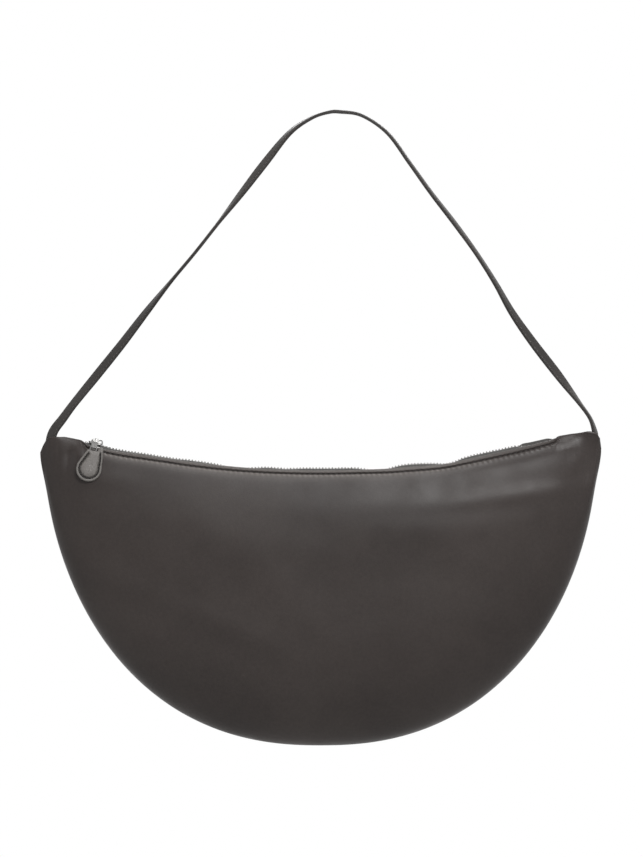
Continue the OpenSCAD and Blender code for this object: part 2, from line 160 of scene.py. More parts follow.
def tube(rings):
    # Closed rings of points in a row, joined and closed at both ends: points, faces and lengths for a UV map
    rings = np.asarray(rings, float)
    n, m = rings.shape[:2]
    across, along = (
        np.concatenate([[0], np.cumsum(np.linalg.norm(steps, axis=2).mean(axis))])
        for steps, axis in ((np.roll(rings, -1, 1) - rings, 0), (np.diff(rings, axis=0), 1))
    )
    i, j = (grid.ravel() for grid in np.meshgrid(np.arange(n - 1), np.arange(m), indexing="ij"))
    k = (j + 1) % m
    quads = np.stack([i * m + j, i * m + k, (i + 1) * m + k, (i + 1) * m + j], 1)
    uv = np.stack([across[np.stack([j, j + 1, j + 1, j], 1)], along[np.stack([i, i, i + 1, i + 1], 1)]], -1)
    points = rings.reshape(-1, 3)
    ends = []
    for start, ring, ahead in ((0, rings[0], False), ((n - 1) * m, rings[-1], True)):
        fill = flatEnd(ring, ahead)
        if fill is None:
            # A fan from the ring's middle, where the outline can't be filled
            fill = [[len(points) - start, q, (q + 1) % m] for q in range(m)]
            fill = fill if ahead else [[face[0], face[2], face[1]] for face in fill]
            points = np.concatenate([points, [ring.mean(0)]])
        ends += [[v + start for v in face] for face in fill]
    faces = quads.tolist() + ends
    if signedVolume(points, faces) < 0:
        faces = [face[::-1] for face in faces]
        uv = uv[:, ::-1]
    return points, faces, np.concatenate([uv.reshape(-1, 2), np.zeros((3 * len(ends), 2))])


def closedRing(rings):
    # A tube that runs back into itself
    n, m = rings.shape[:2]
    spots = [(i, j, (i + 1) % n, (j + 1) % m) for i in range(n) for j in range(m)]
    faces = [[i * m + j, i * m + b, a * m + b, a * m + j] for i, j, a, b in spots]
    points = rings.reshape(-1, 3)
    if signedVolume(points - points.mean(0), faces) < 0:
        faces = [face[::-1] for face in faces]
    return points, faces, np.zeros((4 * len(faces), 2))


def joined(parts):
    # Several closed shells in one mesh
    starts = np.cumsum([0] + [len(points) for points, _, _ in parts]).tolist()
    faces = [[v + start for v in face] for start, part in zip(starts, parts) for face in part[1]]
    return np.concatenate([part[0] for part in parts]), faces, np.concatenate([part[2] for part in parts])


def tubePiece(name, rings, finish, cut=False):
    piece = meshPiece(name, finish, *tube(rings))
    if cut:
        # Sharp round both ends, so that the shading runs on into the next piece
        n, m = np.shape(rings)[:2]
        pairs = np.zeros(2 * len(piece.data.edges), int)
        piece.data.edges.foreach_get("vertices", pairs)
        pairs = pairs.reshape(-1, 2)
        ends = (pairs < m).all(1) | ((pairs >= (n - 1) * m) & (pairs < n * m)).all(1)
        piece.data.attributes.new("sharp_edge", "BOOLEAN", "EDGE").data.foreach_set("value", ends)
    return piece


def secondTone(piece, shares):
    # How much each point takes of its leather's second tone, which paints light into the colour: a highlight
    # on the panels, and shade with some dark dye in the pull's groove. The middle points of fans at the ends
    # take none
    values = np.zeros(len(piece.data.vertices), np.float32)
    values[: shares.size] = shares.ravel()
    piece.data.attributes.new("second_tone", "FLOAT", "POINT").data.foreach_set("value", values)


def onBag(points):
    return np.asarray(points, float) + np.array([bagShape["middle"], 0, 0])


def mirrored(rings):
    return rings * np.array([1, -1, 1])


def cutCorners(a, b, cutA, cutB):
    # A rectangle's outline, with its four corners cut
    right = [(a - cutA, -b), (a, -b + cutB), (a, b - cutB), (a - cutA, b)]
    return [(-a, -b + cutB), (-a + cutA, -b)] + right + [(-a + cutA, b), (-a, b - cutB)]


def squaredTurn(turn, power):
    # A point on a circle that is squared off
    return [math.copysign(abs(value) ** power, value) for value in (math.cos(turn), math.sin(turn))]


# How pieces move. A piece on the back stays at the corners, beyond the zip, and bends towards the middle
def backBend(side):
    corner = (bagShape["middle"] + side * bagShape["bendHalf"]) * toMetres
    return "bag", "back", (corner, 0, 0), (bagShape["middle"] * toMetres, 0, 0)


backBends = {name: backBend(side) for name, side in sides.items()}


def dress(piece, moves, node=None):
    # The body that a piece rides on or the two that it bends between, and the node it stands for
    if isinstance(moves, str):
        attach(piece, moves)
    else:
        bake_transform(piece)
    if node:
        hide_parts(node)


# Materials


class Finish:
    # A material or world in the making: its nodes, and short ways to add and join them

    def __init__(self, name, kind=bpy.data.materials):
        self.material = kind.new(name)
        self.material.use_nodes = True
        self.tree = self.material.node_tree
        self.shader = self.tree.nodes.get("Principled BSDF")

    def add(self, kind, settings=None, **values):
        node = self.tree.nodes.new(kind)
        for key, value in (settings or {}).items():
            setattr(node, key, value)
        for key, value in values.items():
            self.put(node, key.replace("_", " "), value)
        return node

    def put(self, node, key, value):
        socket = node.inputs[key]
        if isinstance(value, bpy.types.NodeSocket):
            self.tree.links.new(value, socket)
        elif socket.type == "RGBA":
            socket.default_value = (*value, 1)
        else:
            socket.default_value = value

    def set(self, **values):
        for key, value in values.items():
            self.put(self.shader, key.replace("_", " "), value)

    def place(self, kind="Object"):
        return self.add("ShaderNodeTexCoord").outputs[kind]

    def noise(self, vector, scale, detail=3.0, roughness=0.5):
        node = self.add("ShaderNodeTexNoise", Vector=vector, Scale=scale, Detail=detail, Roughness=roughness)
        return node.outputs["Fac"]

    def joining(self, node, *values):
        # A node whose first inputs take these values in order
        for key, value in enumerate(values):
            self.put(node, key, value)
        return node.outputs[0]

    def math(self, operation, a, b):
        return self.joining(self.add("ShaderNodeMath", {"operation": operation}), a, b)

    def spread(self, value, low, high, first=0.0, last=1.0):
        ends = {"From_Min": first, "From_Max": last, "To_Min": low, "To_Max": high}
        return self.add("ShaderNodeMapRange", Value=value, **ends).outputs["Result"]

    def ramp(self, value, stops):
        node = self.add("ShaderNodeValToRGB", Fac=value)
        for element, (at, colour) in zip(node.color_ramp.elements, stops):
            element.position = at
            element.color = (*colour, 1)
        return node.outputs["Color"]

    def tint(self, share, a, b):
        # For colours the mix node uses inputs 6 and 7 and output 2
        node = self.add("ShaderNodeMix", {"data_type": "RGBA"}, Factor=share)
        self.put(node, 6, a)
        self.put(node, 7, b)
        return node.outputs[2]

    def bump(self, height, strength, depth):
        # The height is read as a relief of that depth in metres
        node = self.add("ShaderNodeBump", Height=height, Strength=strength, Distance=depth)
        self.set(Normal=node.outputs["Normal"])

    def seen(self):
        # 1 for what the camera sees, also in a mirror or through glass, and 0 for light on its way
        path = self.add("ShaderNodeLightPath")
        seen = path.outputs["Is Camera Ray"]
        for name in ("Is Glossy Ray", "Is Transmission Ray"):
            seen = self.math("MAXIMUM", seen, path.outputs[name])
        return seen

    def show(self, share, a, b, out):
        node = self.add("ShaderNodeMixShader")
        self.put(self.tree.nodes[out], "Surface", self.joining(node, share, a.outputs[0], b.outputs[0]))


def softLeather(name, dark, light, roughness, grain, grainDepth, specular=0.5, second=None):
    # Smooth dyed leather: a fine broken grain, pores, cloudy dye and a satin polish that varies
    f = Finish(name)
    here = f.place()
    fine = f.noise(here, 420.0, 3.0, 0.6)
    cloud = f.math("MULTIPLY", f.noise(here, 9.0, 4.0, 0.55), 0.75)
    colour = f.ramp(f.math("ADD", cloud, f.math("MULTIPLY", fine, 0.25)), [(0.36, dark), (0.66, light)])
    # A second tone from the piece's attribute: a painted highlight on the panels, painted shade in the pull's
    # groove
    if second:
        share = f.add("ShaderNodeAttribute", {"attribute_name": "second_tone"}).outputs["Fac"]
        colour = f.tint(f.math("MULTIPLY", share, f.spread(fine, 0.75, 1.0, 0.3, 0.7)), colour, second)
    polish = f.spread(f.noise(here, 60.0, 3.0), roughness - 0.05, roughness + 0.06, 0.3, 0.7)
    f.set(Base_Color=colour, Roughness=polish, Specular_IOR_Level=specular)
    cells = f.add("ShaderNodeTexVoronoi", {"feature": "SMOOTH_F1"}, Vector=here, Scale=grain)
    pores = f.math("MULTIPLY", f.noise(here, grain * 2.4, 2.0), 0.5)
    f.bump(f.math("ADD", f.math("MULTIPLY", cells.outputs["Distance"], 0.8), pores), 0.55, grainDepth)
    return f


leatherLooks = {
    "dark": (0.022, 0.0172, 0.0158),
    "light": (0.037, 0.0297, 0.0272),
    "roughness": 0.38,
    "grain": 1250.0,
    "grainDepth": 0.00006,
    "specular": 0.22,
}
bagLeather = softLeather("soft_leather", **leatherLooks)
# The panels' second tone is a painted highlight along the mouth
panelLeather = softLeather("panel_leather", **leatherLooks, second=(0.125, 0.112, 0.105))
strapLeather = softLeather(
    "strap_leather", (0.016, 0.014, 0.013), (0.034, 0.030, 0.028), 0.42, 1500.0, 0.00008, specular=0.3
)
rawEdge = softLeather("raw_leather_edge", (0.024, 0.020, 0.018), (0.036, 0.031, 0.028), 0.6, 1800.0, 0.0001)
pullLooks = {
    "dark": (0.095, 0.087, 0.081),
    "light": (0.18, 0.168, 0.158),
    "roughness": 0.5,
    "grain": 1000.0,
    "grainDepth": 0.0004,
    # the second tone is painted shade in the stitched groove, partly dark dye
    "second": (0.012, 0.0105, 0.010),
}
pullLeather = softLeather("pebbled_leather", **pullLooks)


def wovenCloth(name, dark, light, pitch, roughness, depth):
    # A plain weave that follows the piece's own UV map, with threads that vary in tone
    f = Finish(name)
    uv = f.place("UV")
    apart = f.add("ShaderNodeSeparateXYZ", Vector=uv)
    warp, weft = (
        f.math("ABSOLUTE", f.math("SINE", f.math("MULTIPLY", apart.outputs[axis], math.pi / pitch), 0.5), 0.5)
        for axis in ("X", "Y")
    )
    over = f.math("MULTIPLY", warp, weft)
    tone = f.math("ADD", f.math("MULTIPLY", over, 0.6), f.math("MULTIPLY", f.noise(uv, 500.0), 0.5))
    f.set(Base_Color=f.ramp(tone, [(0.1, dark), (0.8, light)]), Sheen_Weight=0.25, Sheen_Roughness=0.5)
    f.set(Roughness=f.spread(over, roughness + 0.06, roughness - 0.06))
    f.bump(over, 0.7, depth)
    return f


liningCloth = wovenCloth("lining_cloth", (0.10, 0.085, 0.07), (0.17, 0.15, 0.125), 0.0007, 0.75, 0.0001)
zipTape = wovenCloth("zip_tape", (0.030, 0.028, 0.027), (0.070, 0.066, 0.062), 0.0009, 0.8, 0.00014)
stayTape = wovenCloth("stay_tape", (0.02, 0.02, 0.019), (0.045, 0.044, 0.042), 0.0008, 0.85, 0.00012)


def castMetal(name, dark, light, roughness, scratch):
    # Plated metal: a faint cloud in the plating and hairline rubs
    f = Finish(name)
    here = f.place()
    f.set(Metallic=1.0, Base_Color=f.ramp(f.noise(here, 700.0, 3.0), [(0.35, dark), (0.65, light)]))
    f.set(Roughness=f.spread(f.noise(here, 1500.0, 4.0), roughness - 0.05, roughness + 0.08, 0.3, 0.7))
    stretched = f.add("ShaderNodeMapping", Vector=here, Scale=(900.0, 5000.0, 5000.0))
    f.bump(f.noise(stretched.outputs["Vector"], 1.0, 2.0), scratch, 0.00002)
    return f


zipMetal = castMetal("zip_metal", (0.15, 0.145, 0.14), (0.30, 0.29, 0.28), 0.32, 0.3)
sliderMetal = castMetal("slider_metal", (0.2, 0.197, 0.192), (0.31, 0.304, 0.296), 0.36, 0.15)


def sewingThread(name, dark, light):
    # Twisted thread, with its twist as slanted bands
    f = Finish(name)
    here = f.place()
    slanted = {"bands_direction": "DIAGONAL"}
    band = f.add("ShaderNodeTexWave", slanted, Vector=here, Scale=420.0, Distortion=1.5).outputs["Fac"]
    f.set(Base_Color=f.ramp(band, [(0.2, dark), (0.9, light)]), Roughness=f.spread(band, 0.75, 0.55))
    f.bump(band, 0.6, 0.00008)
    return f


darkThread = sewingThread("dark_thread", (0.010, 0.009, 0.0085), (0.030, 0.027, 0.025))
strapThread = sewingThread("strap_thread", (0.050, 0.047, 0.045), (0.115, 0.108, 0.102))
print("finishes made")

# Repeats along a path
repeatInputs = {
    "Path": "Geometry",
    "Pitch": "Float",
    "Item": "Object",
    "Finish": "Material",
    "Size change": "Float",
    "Seed": "Int",
}


def repeatTree(name, pivotAxis):
    tree = bpy.data.node_groups.new(name, "GeometryNodeTree")
    for label, kind in repeatInputs.items():
        tree.interface.new_socket(label, in_out="INPUT", socket_type="NodeSocket" + kind)
    tree.interface.new_socket("Pieces", in_out="OUTPUT", socket_type="NodeSocketGeometry")

    def add(kind, **settings):
        node = tree.nodes.new(kind)
        for key, value in settings.items():
            setattr(node, key, value)
        return node

    start, end = add("NodeGroupInput"), add("NodeGroupOutput")
    curve = add("GeometryNodeMeshToCurve")
    spots = add("GeometryNodeCurveToPoints", mode="LENGTH")
    turn = add("FunctionNodeAlignRotationToVector", axis="X", pivot_axis=pivotAxis)
    item = add("GeometryNodeObjectInfo")
    place = add("GeometryNodeInstanceOnPoints")
    change = add("FunctionNodeRandomValue", data_type="FLOAT")
    low, high = add("ShaderNodeMath", operation="SUBTRACT"), add("ShaderNodeMath", operation="ADD")
    low.inputs[0].default_value = high.inputs[0].default_value = 1.0
    realize = add("GeometryNodeRealizeInstances")
    paint = add("GeometryNodeSetMaterial")
    for node, output, other, socket in (
        (start, "Path", curve, 0),
        (curve, 0, spots, "Curve"),
        (start, "Pitch", spots, "Length"),
        (spots, "Tangent", turn, "Vector"),
        (start, "Item", item, "Object"),
        (spots, "Points", place, "Points"),
        (item, "Geometry", place, "Instance"),
        (turn, "Rotation", place, "Rotation"),
        (start, "Size change", low, 1),
        (start, "Size change", high, 1),
        (low, 0, change, 2),
        (high, 0, change, 3),
        (start, "Seed", change, "Seed"),
        (change, 1, place, "Scale"),
        (place, 0, realize, 0),
        (realize, 0, paint, "Geometry"),
        (start, "Finish", paint, "Material"),
        (paint, 0, end, 0),
    ):
        tree.links.new(node.outputs[output], other.inputs[socket])
    return tree


freeTurn = repeatTree("stitches_along_a_path", "AUTO")
levelTurn = repeatTree("teeth_along_the_mouth", "Y")


def repeatAlong(name, paths, pitch, item, finish, tree=freeTurn, change=0.0, seed=1):
    # The paths are lines of points in millimetres. The result is a plain mesh
    points, edges = [], []
    for path in paths:
        first = len(points)
        points += (np.asarray(path, float) * toMetres).tolist()
        edges += [[k, k + 1] for k in range(first, len(points) - 1)]
    mesh = bpy.data.meshes.new(name + "_path")
    mesh.from_pydata(points, edges, [])
    line = inScene(name + "_path", mesh)
    modifier = line.modifiers.new("repeat", "NODES")
    modifier.node_group = tree
    inputs = {s.name: s.identifier for s in tree.interface.items_tree if s.in_out == "INPUT"}
    for key, value in zip(list(repeatInputs)[1:], (pitch * toMetres, item, finish.material, change, seed)):
        modifier[inputs[key]] = value
    graph = bpy.context.evaluated_depsgraph_get()
    graph.update()
    made = bpy.data.meshes.new_from_object(line.evaluated_get(graph), depsgraph=graph)
    made.name = name
    bpy.data.objects.remove(line)
    made.shade_smooth()
    return inScene(name, made)


def grain(length, width, height, around=8, along=6):
    # A rounded grain of thread, long in x
    rings = []
    turns = np.linspace(0, 2 * math.pi, around, endpoint=False)
    for a in (math.pi * k / along for k in range(1, along)):
        x, r = -math.cos(a) * length / 2, math.sin(a) ** 0.6
        rings.append([[x, r * width / 2 * math.cos(t), r * height / 2 * math.sin(t)] for t in turns])
    return tubePiece("thread_grain", rings, darkThread)


# The shape of the bag


def shapeAt(u):
    # The mouth's arc and the seam below it, by share of the half width
    s = bagShape
    angle = np.radians(90 * u)
    topX = s["cornerHalf"] * np.sin(angle)
    topZ = arcZ - np.sqrt(s["mouthRadius"] ** 2 - topX**2)
    side = np.abs(np.sin(angle))
    seamX = s["halfWidth"] * side ** s["sideShare"] + s["cornerFlare"] * side ** s["flareSharpness"]
    seamZ = s["cornerZ"] - s["cornerEdge"] - s["outlineDepth"] * np.abs(np.cos(angle)) ** s["bottomShare"]
    return topX, topZ, np.sign(u) * seamX, seamZ


def shareAt(x):
    return np.degrees(np.arcsin(x / bagShape["cornerHalf"])) / 90


def lipAt(x):
    s = bagShape
    x = np.minimum(np.abs(x), s["cornerHalf"])
    inner = np.clip((x - s["lipTurnsAt"]) / (s["rootInner"] - s["lipTurnsAt"]), 0, 1)
    outer = np.clip((x - s["rootOuter"]) / (s["cornerHalf"] - s["rootOuter"]), 0, 1)
    inner, outer = mix(s["lipHalf"], s["rootLip"], inner), mix(s["rootLip"], s["cornerLip"], outer)
    return np.where(x < s["rootOuter"], inner, outer)


def halfDepth(u, v):
    s = bagShape
    peakAt = s["riseShare"] / (s["riseShare"] + s["roundShare"])
    peak = peakAt ** s["riseShare"] * (1 - peakAt) ** s["roundShare"]
    angle = np.radians(90 * u)
    lip = eased(lipAt, s["cornerHalf"] * np.sin(angle), mouthEdge["lipEase"])
    bulge = s["belly"] * np.abs(np.cos(angle)) ** s["sideFade"]
    bulge = bulge * v ** s["riseShare"] * (1 - v) ** s["roundShare"] / peak
    return s["seamHalfGap"] + (lip - s["seamHalfGap"]) * np.sqrt(1 - v) + bulge


def arcPlace(x, y, up):
    # A point over the mouth's arc, by its distance from the bag's middle
    angle = np.arcsin(np.asarray(x, float) / bagShape["mouthRadius"])
    r = bagShape["mouthRadius"] - up
    return np.stack(np.broadcast_arrays(r * np.sin(angle), y, arcZ - r * np.cos(angle)), -1)


# The leather's edge along the mouth, from left to right: distance from the middle, and height over the arc
mouthEdge = {
    "rise": [
        (-197, -3.7), (-194.7, -0.7), (-190, 1.0), (-187.5, 1.6), (-184, 2.8), (-179, 3.2), (-173, 3.5),
        (-171.5, 3.3), (-168.5, 1.2), (-167.2, 0.6), (-156, 0.6), (-140, 1.4), (-127, 2.1), (-110, 2.6),
        (-92, 2.5), (-50, 2.4), (0, 2.5), (30, 2.4), (50, 2.0), (63, 2.2), (75, 1.8), (86, 1.4), (95, 1.6),
        (103, 2.5), (115, 3.3), (130, 3.9), (145, 4.3), (155, 4.6), (167, 4.8), (168.5, 5.1), (171.5, 6.6),
        (180, 6.0), (188, 4.8), (191, 4.0), (194, 2.2), (196, 0.4), (197, -2.4),
    ],
    # The stitched line's depth below the edge
    "stitch": [
        (-167, 1.2), (-156, 1.6), (-144, 2.1), (-127, 2.1), (-100, 2.2), (-80, 2.2), (-50, 2.0), (-22, 1.9),
        (21, 1.9), (43, 2.1), (63, 2.4), (75, 2.3), (86, 2.2), (95, 2.0), (103, 2.4), (130, 2.5), (155, 2.3),
        (167, 2.0),
    ],
    # The edge's distance from the middle plane
    "half": [
        (-197, 2.4), (-195, 3.0), (-188, 3.1), (-180, 0.8), (-172.6, 0.8), (-169.5, 4.9), (-166.8, 6.4),
        (166.8, 6.4), (169.5, 4.9), (172.6, 0.8), (181, 0.8), (188, 4.2), (191, 5.0), (196, 5.0), (197, 4.6),
    ],
    # How far the edge is pulled sideways
    "stretch": [
        (-197, -0.9), (-190, -0.5), (-180, 0), (178, 0), (184, 0.9), (190, 2.3), (194, 3.4), (197, 4.8),
    ],
    "lipEase": 9.0,
    "riseEase": (1.2, 14.0),
    "stretchEase": 4.0,
    "halfEase": 2.5,
    "stitchEase": 6.0,
    "thickness": 1.55,
    "hemDepth": 7.5,
    "leather": 1.2,
    "fadeLength": 34.0,
    "turnDepth": 9.0,
    "stretchLength": 60,
    "turnShare": 0.7,
    "turnRound": 0.35,
    "closes": (166.8, 169.5),
    "endRound": 2.6,
    "endThins": 3.0,
}
stitchLine = {
    "width": 0.57,
    "depth": 1.15,
    "pitch": 3.8,
    "wander": 0.55,
    "shallower": 0.35,
    "pucker": 0.4,
    "puckerBelow": 1.0,
    "puckerWidth": 0.6,
    "swell": 1.7,
    "swellLength": 1.5,
    "swellFade": 30,
    "ends": (170.0, 173.0),
    "swellEnds": (145.0, 184.0),
}
shoulder = {"slope": 0.25, "length": 50.0}  # how the leather rolls out under the mouth
slump = {"left": -3.0, "right": -0.5, "sharpness": 30, "lean": 0.5}  # how the corners hang unevenly
dentFade = {"fromEdge": (2, 10), "fromSeam": (0.0, 0.12)}
# Painted highlight along the mouth: how pale the leather is painted on its turned edge and just under the
# stitching, where light from above catches it
paintedHighlight = {
    "rim": 0.75,
    "rimFade": (-0.9, -0.35),
    "under": 1.5,
    "underStart": (0.3, 0.9),
    "between": 0.6,
    "even": 0.8,
    "evenFrom": (0.7, 1.9),
    "reach": 1.7,
    "along": [(-170, 1), (45, 1), (90, 0.75), (115, 0.55), (130, 0.3), (150, 0.12), (170, 0.1)],
    "rimAlong": [(-170, 1), (85, 1), (110, 0.75), (130, 0.45), (170, 0.3)],
    "ends": (158, 170),
}

# Dents (below 0) and swells of the leather: x, z, half length, half width, slant in degrees, height
frontDents = [
    (-180.2, -247.5, 12, 3.6, 84, -1.5),
    (-172.5, -245.5, 8, 4, 60, 0.6),
    (-158, -262, 26, 8, -6, 0.7),
    (-191, -244.5, 7, 2.4, 88, 0.5),
    (-173, -262, 16, 7, 70, -0.7),
    (-168, -350, 11, 1.8, -12, 0.5),
    (-160, -357, 14, 4, -30, -0.5),
    (-90, -358, 75, 9, -24, 0.9),
    (-60, -385, 80, 10, -20, -0.8),
    (-130, -330, 60, 14, -35, -0.8),
    (-40, -330, 60, 14, -38, 0.6),
    (0, -300, 60, 12, -8, -0.5),
    (85, -298, 56, 13, 4, 0.65),
    (138, -275, 50, 6, 7, 0.9),
    (130, -253, 42, 6, 12, -0.5),
    (70, -280, 40, 7, 3, 0.4),
    (195, -250, 14, 3.4, 74, -1.1),
    (183, -252, 8, 5, 60, 0.45),
    (193, -262, 20, 2.5, 83, 0.5),
    (160, -300, 30, 10, 60, -0.6),
    (95, -380, 70, 22, 30, 0.8),
    (20, -420, 90, 14, 4, 0.6),
]
backDents = [
    (-178, -256, 12, 4, 80, -1.1),
    (180, -258, 13, 4, -80, -1.2),
    (-110, -300, 50, 10, -20, -0.9),
    (60, -330, 70, 12, 18, -1.0),
    (-20, -380, 90, 14, -10, 0.9),
    (120, -350, 45, 10, 35, 0.8),
    (-120, -390, 50, 9, -38, -0.7),
    (20, -290, 60, 8, 2, 0.6),
]


def dentsAt(x, z, dents):
    total = np.zeros_like(x)
    for midX, midZ, length, width, slant, height in dents:
        c, s = cosSin(slant)
        a = ((x - midX) * c + (z - midZ) * s) / length
        b = ((z - midZ) * c - (x - midX) * s) / width
        total += height * np.exp(-(a**2) - b**2)
    return total


nearRows = [0, 0.3, 0.6, 0.85, 1.1, 1.35, 1.6, 1.85, 2.1, 2.4, 2.75, 3.15, 3.8, 4.7, 6.0, 7.7]
nearCount = len(nearRows)


def rowsBelow(length, farRows):
    # Distances below the mouth's edge: close at the stitching, wide over the body, close again at the seam
    near = np.array(nearRows) * np.minimum(1, length / 60)
    turn = (1 - np.cos(np.pi * np.linspace(0.09, 1, farRows + 1))) / 2
    share = (turn[1:] - turn[0]) / (1 - turn[0])
    far = near[:, -1:] + (length - near[:, -1:]) * share
    return np.concatenate([near, far], 1)


def stitchingAt(topX):
    # The stitched line's depth below the edge, and a wave that is 1 between two stitches and 0 on a stitch
    along = bagShape["mouthRadius"] * np.arcsin(topX / bagShape["mouthRadius"])
    between = 0.5 + 0.5 * np.cos(2 * np.pi * along / stitchLine["pitch"])
    return easedTable(mouthEdge["stitch"], topX, mouthEdge["stitchEase"]), between


def panelSkin(us, dents, farRows=54):
    # The outer face of a panel, its y from the middle plane, and how far each point lies below the edge
    m, s = mouthEdge, stitchLine
    us = us[:, None]
    topX, topZ, seamX, seamZ = shapeAt(us)
    length = np.hypot(seamX - topX, seamZ - topZ)
    below = rowsBelow(length, farRows)
    v = np.clip(below / length, 0, 1)
    x = mix(topX, seamX, v)
    z = mix(topZ, seamZ, v)
    depth = halfDepth(us, v)
    # The edge rises and falls along the mouth, is stretched at its ends, and slumps in the corners
    rise, broadRise = (easedTable(m["rise"], topX, reach) for reach in m["riseEase"])
    z = z + broadRise * (1 - smooth(below / np.minimum(m["fadeLength"], length)))
    z = z + (rise - broadRise) * (1 - smooth(below, 0, m["turnDepth"]))
    stretch = easedTable(m["stretch"], topX, m["stretchEase"])
    x = x + stretch * np.clip(1 - below / np.minimum(m["stretchLength"], length), 0, 1)
    x = x + np.where(us < 0, slump["lean"], 0.0) * smooth(v, 0.3, 1.0) * smooth(np.abs(us), 0.3, 0.7)
    side = np.abs(np.sin(np.radians(90 * us)))
    slip = np.where(us < 0, slump["left"], slump["right"]) * side ** slump["sharpness"]
    z = z + slip * smooth(v)
    # The leather rolls out under the mouth, and closes over the ends of the zip and in the corners
    roll = shoulder["slope"] * below * np.exp(-((below / shoulder["length"]) ** 2))
    depth = depth + roll * np.abs(np.cos(np.radians(90 * us))) * smooth(1 - v, 0.0, 0.25)
    t = np.clip(below / np.minimum(m["turnDepth"], length * m["turnShare"]), 0, 1)
    turned = mix(t * (2 - t), np.sqrt(1 - (1 - t) ** 2), m["turnRound"])
    half = easedTable(m["half"], topX, m["halfEase"])
    depth = mix(depth, half + (depth - half) * turned, smooth(np.abs(topX), *m["closes"]))
    end = (bagShape["cornerHalf"] - np.abs(topX)) / m["endRound"]
    gap = bagShape["seamHalfGap"]
    depth = gap + (depth - gap) * np.sqrt(1 - (1 - np.clip(end, 0, 1)) ** 2)
    # Stitching along the mouth: its groove, and the leather that puckers between the stitches
    line, between = stitchingAt(topX)
    groove = hump(below, line + s["wander"] * (0.5 - between), s["width"])
    groove = s["depth"] * (1 - s["shallower"] * between) * groove
    past = np.maximum(below - line, 0)
    swell = s["swell"] * (1 - np.exp(-past / s["swellLength"])) * np.exp(-past / s["swellFade"])
    swell = swell * (1 - smooth(np.abs(topX), *s["swellEnds"]))
    pucker = s["pucker"] * hump(below, line + s["puckerBelow"], s["puckerWidth"]) * between
    depth = depth + swell + (pucker - groove) * (1 - smooth(np.abs(topX), *s["ends"]))
    dented = dentsAt(x, z, dents) * smooth(below, *dentFade["fromEdge"])
    depth = depth + dented * smooth(1 - v, *dentFade["fromSeam"])
    return np.stack([x, -depth, z], -1), below


def skinNormals(skin):
    way = unit(np.cross(np.gradient(skin, axis=0), np.gradient(skin, axis=1)))
    return -way if way[len(way) // 2, skin.shape[1] // 2, 1] > 0 else way


def paintedHighlightAt(us, below):
    # Painted highlight where light from above catches the leather: on the turned edge, and just under its
    # stitching, more between the stitches
    topX = shapeAt(us[:, None])[0]
    line, between = stitchingAt(topX)
    r, past = paintedHighlight, below - line
    rim = r["rim"] * (1 - smooth(past, *r["rimFade"])) * tableAt(r["rimAlong"], topX)
    under = r["under"] * smooth(past, *r["underStart"])
    under = under * np.exp(-np.maximum(past - r["underStart"][1], 0) / r["reach"])
    under = under * mix(mix(r["between"], 1, between), r["even"], smooth(past, *r["evenFrom"]))
    under = under * tableAt(r["along"], topX)
    return (rim + under) * (1 - smooth(np.abs(topX), *r["ends"]))


rimTurns = (30, 60, 90, 120, 150)


def panelRings(us, dents):
    # The skin, its inner face on fewer rows, and a round turned edge between them
    m = mouthEdge
    outer, below = panelSkin(us, dents)
    hem = mix(m["thickness"], m["leather"], smooth(below, m["hemDepth"] - 0.5, m["hemDepth"] + 0.5))
    atEnd = np.clip((bagShape["cornerHalf"] - np.abs(shapeAt(us)[0])) / m["endThins"], 0.04, 1)[:, None]
    inner = outer - skinNormals(outer) * (hem * atEnd)[..., None]
    last = outer.shape[1] - 1
    inner = inner[:, np.unique(np.concatenate([[0, 4, 8, 12, 15], np.arange(17, last + 1, 3), [last]]))]
    inner[..., 1] = np.minimum(inner[..., 1], -0.02)
    middle, arm = (outer[:, 0] + inner[:, 0]) / 2, (outer[:, 0] - inner[:, 0]) / 2
    up = outer[:, 0] - outer[:, 3]
    up[:, 1] = 0
    up = unit(up) * np.linalg.norm(arm, axis=1, keepdims=True)
    rim = [middle - arm * c + up * s for c, s in map(cosSin, rimTurns)]
    return np.concatenate([outer, inner[:, ::-1], np.stack(rim, 1)], 1), below


def leatherPanel(name, us, dents, back=False):
    rings, below = panelRings(us, dents)
    shares = np.zeros(rings.shape[:2])
    # Painted highlight along the mouth, carried by the second tone
    shares[:, : below.shape[1]] = paintedHighlightAt(us, below)
    shares[:, -len(rimTurns) :] = shares[:, :1]
    piece = tubePiece(name, onBag(mirrored(rings) if back else rings), panelLeather, cut=back)
    secondTone(piece, shares)
    return piece


panelColumns = {"perStitch": 5, "zipHalf": 168.0, "corner": 84}


def columnShares(low, high):
    # Columns of the panels: a fifth of a stitch apart along the zip, and closer towards the corners
    step = stitchLine["pitch"] / panelColumns["perStitch"]
    turn = panelColumns["zipHalf"]
    middle = shareAt(np.arange(-turn, turn + step / 2, step))
    ends = np.linspace(middle[-1], 1, panelColumns["corner"])[1:]
    us = np.concatenate([-ends[::-1], middle, ends])
    us = us[(us > low + 1e-6) & (us < high - 1e-6)]
    return np.concatenate([[low], us, [high]])


dress(leatherPanel("front_leather", columnShares(-1, 1), frontDents), "bag", "front_panel")
for name, side in sides.items():
    us = columnShares(min(side, 0), max(side, 0))
    piece = leatherPanel(f"back_leather_{name}", us, backDents, back=True)
    dress(piece, backBends[name], "back_panel")
print("panels made")

# Lining, hung inside each panel from the zip tape down to the seam
liningPiece = {
    "gap": 2.1,
    "thickness": 0.55,
    "endShare": 0.82,
    "ripple": 0.35,
    "waves": (9, 17, 23),
    "middleGap": 0.3,
    "farRows": 40,
}


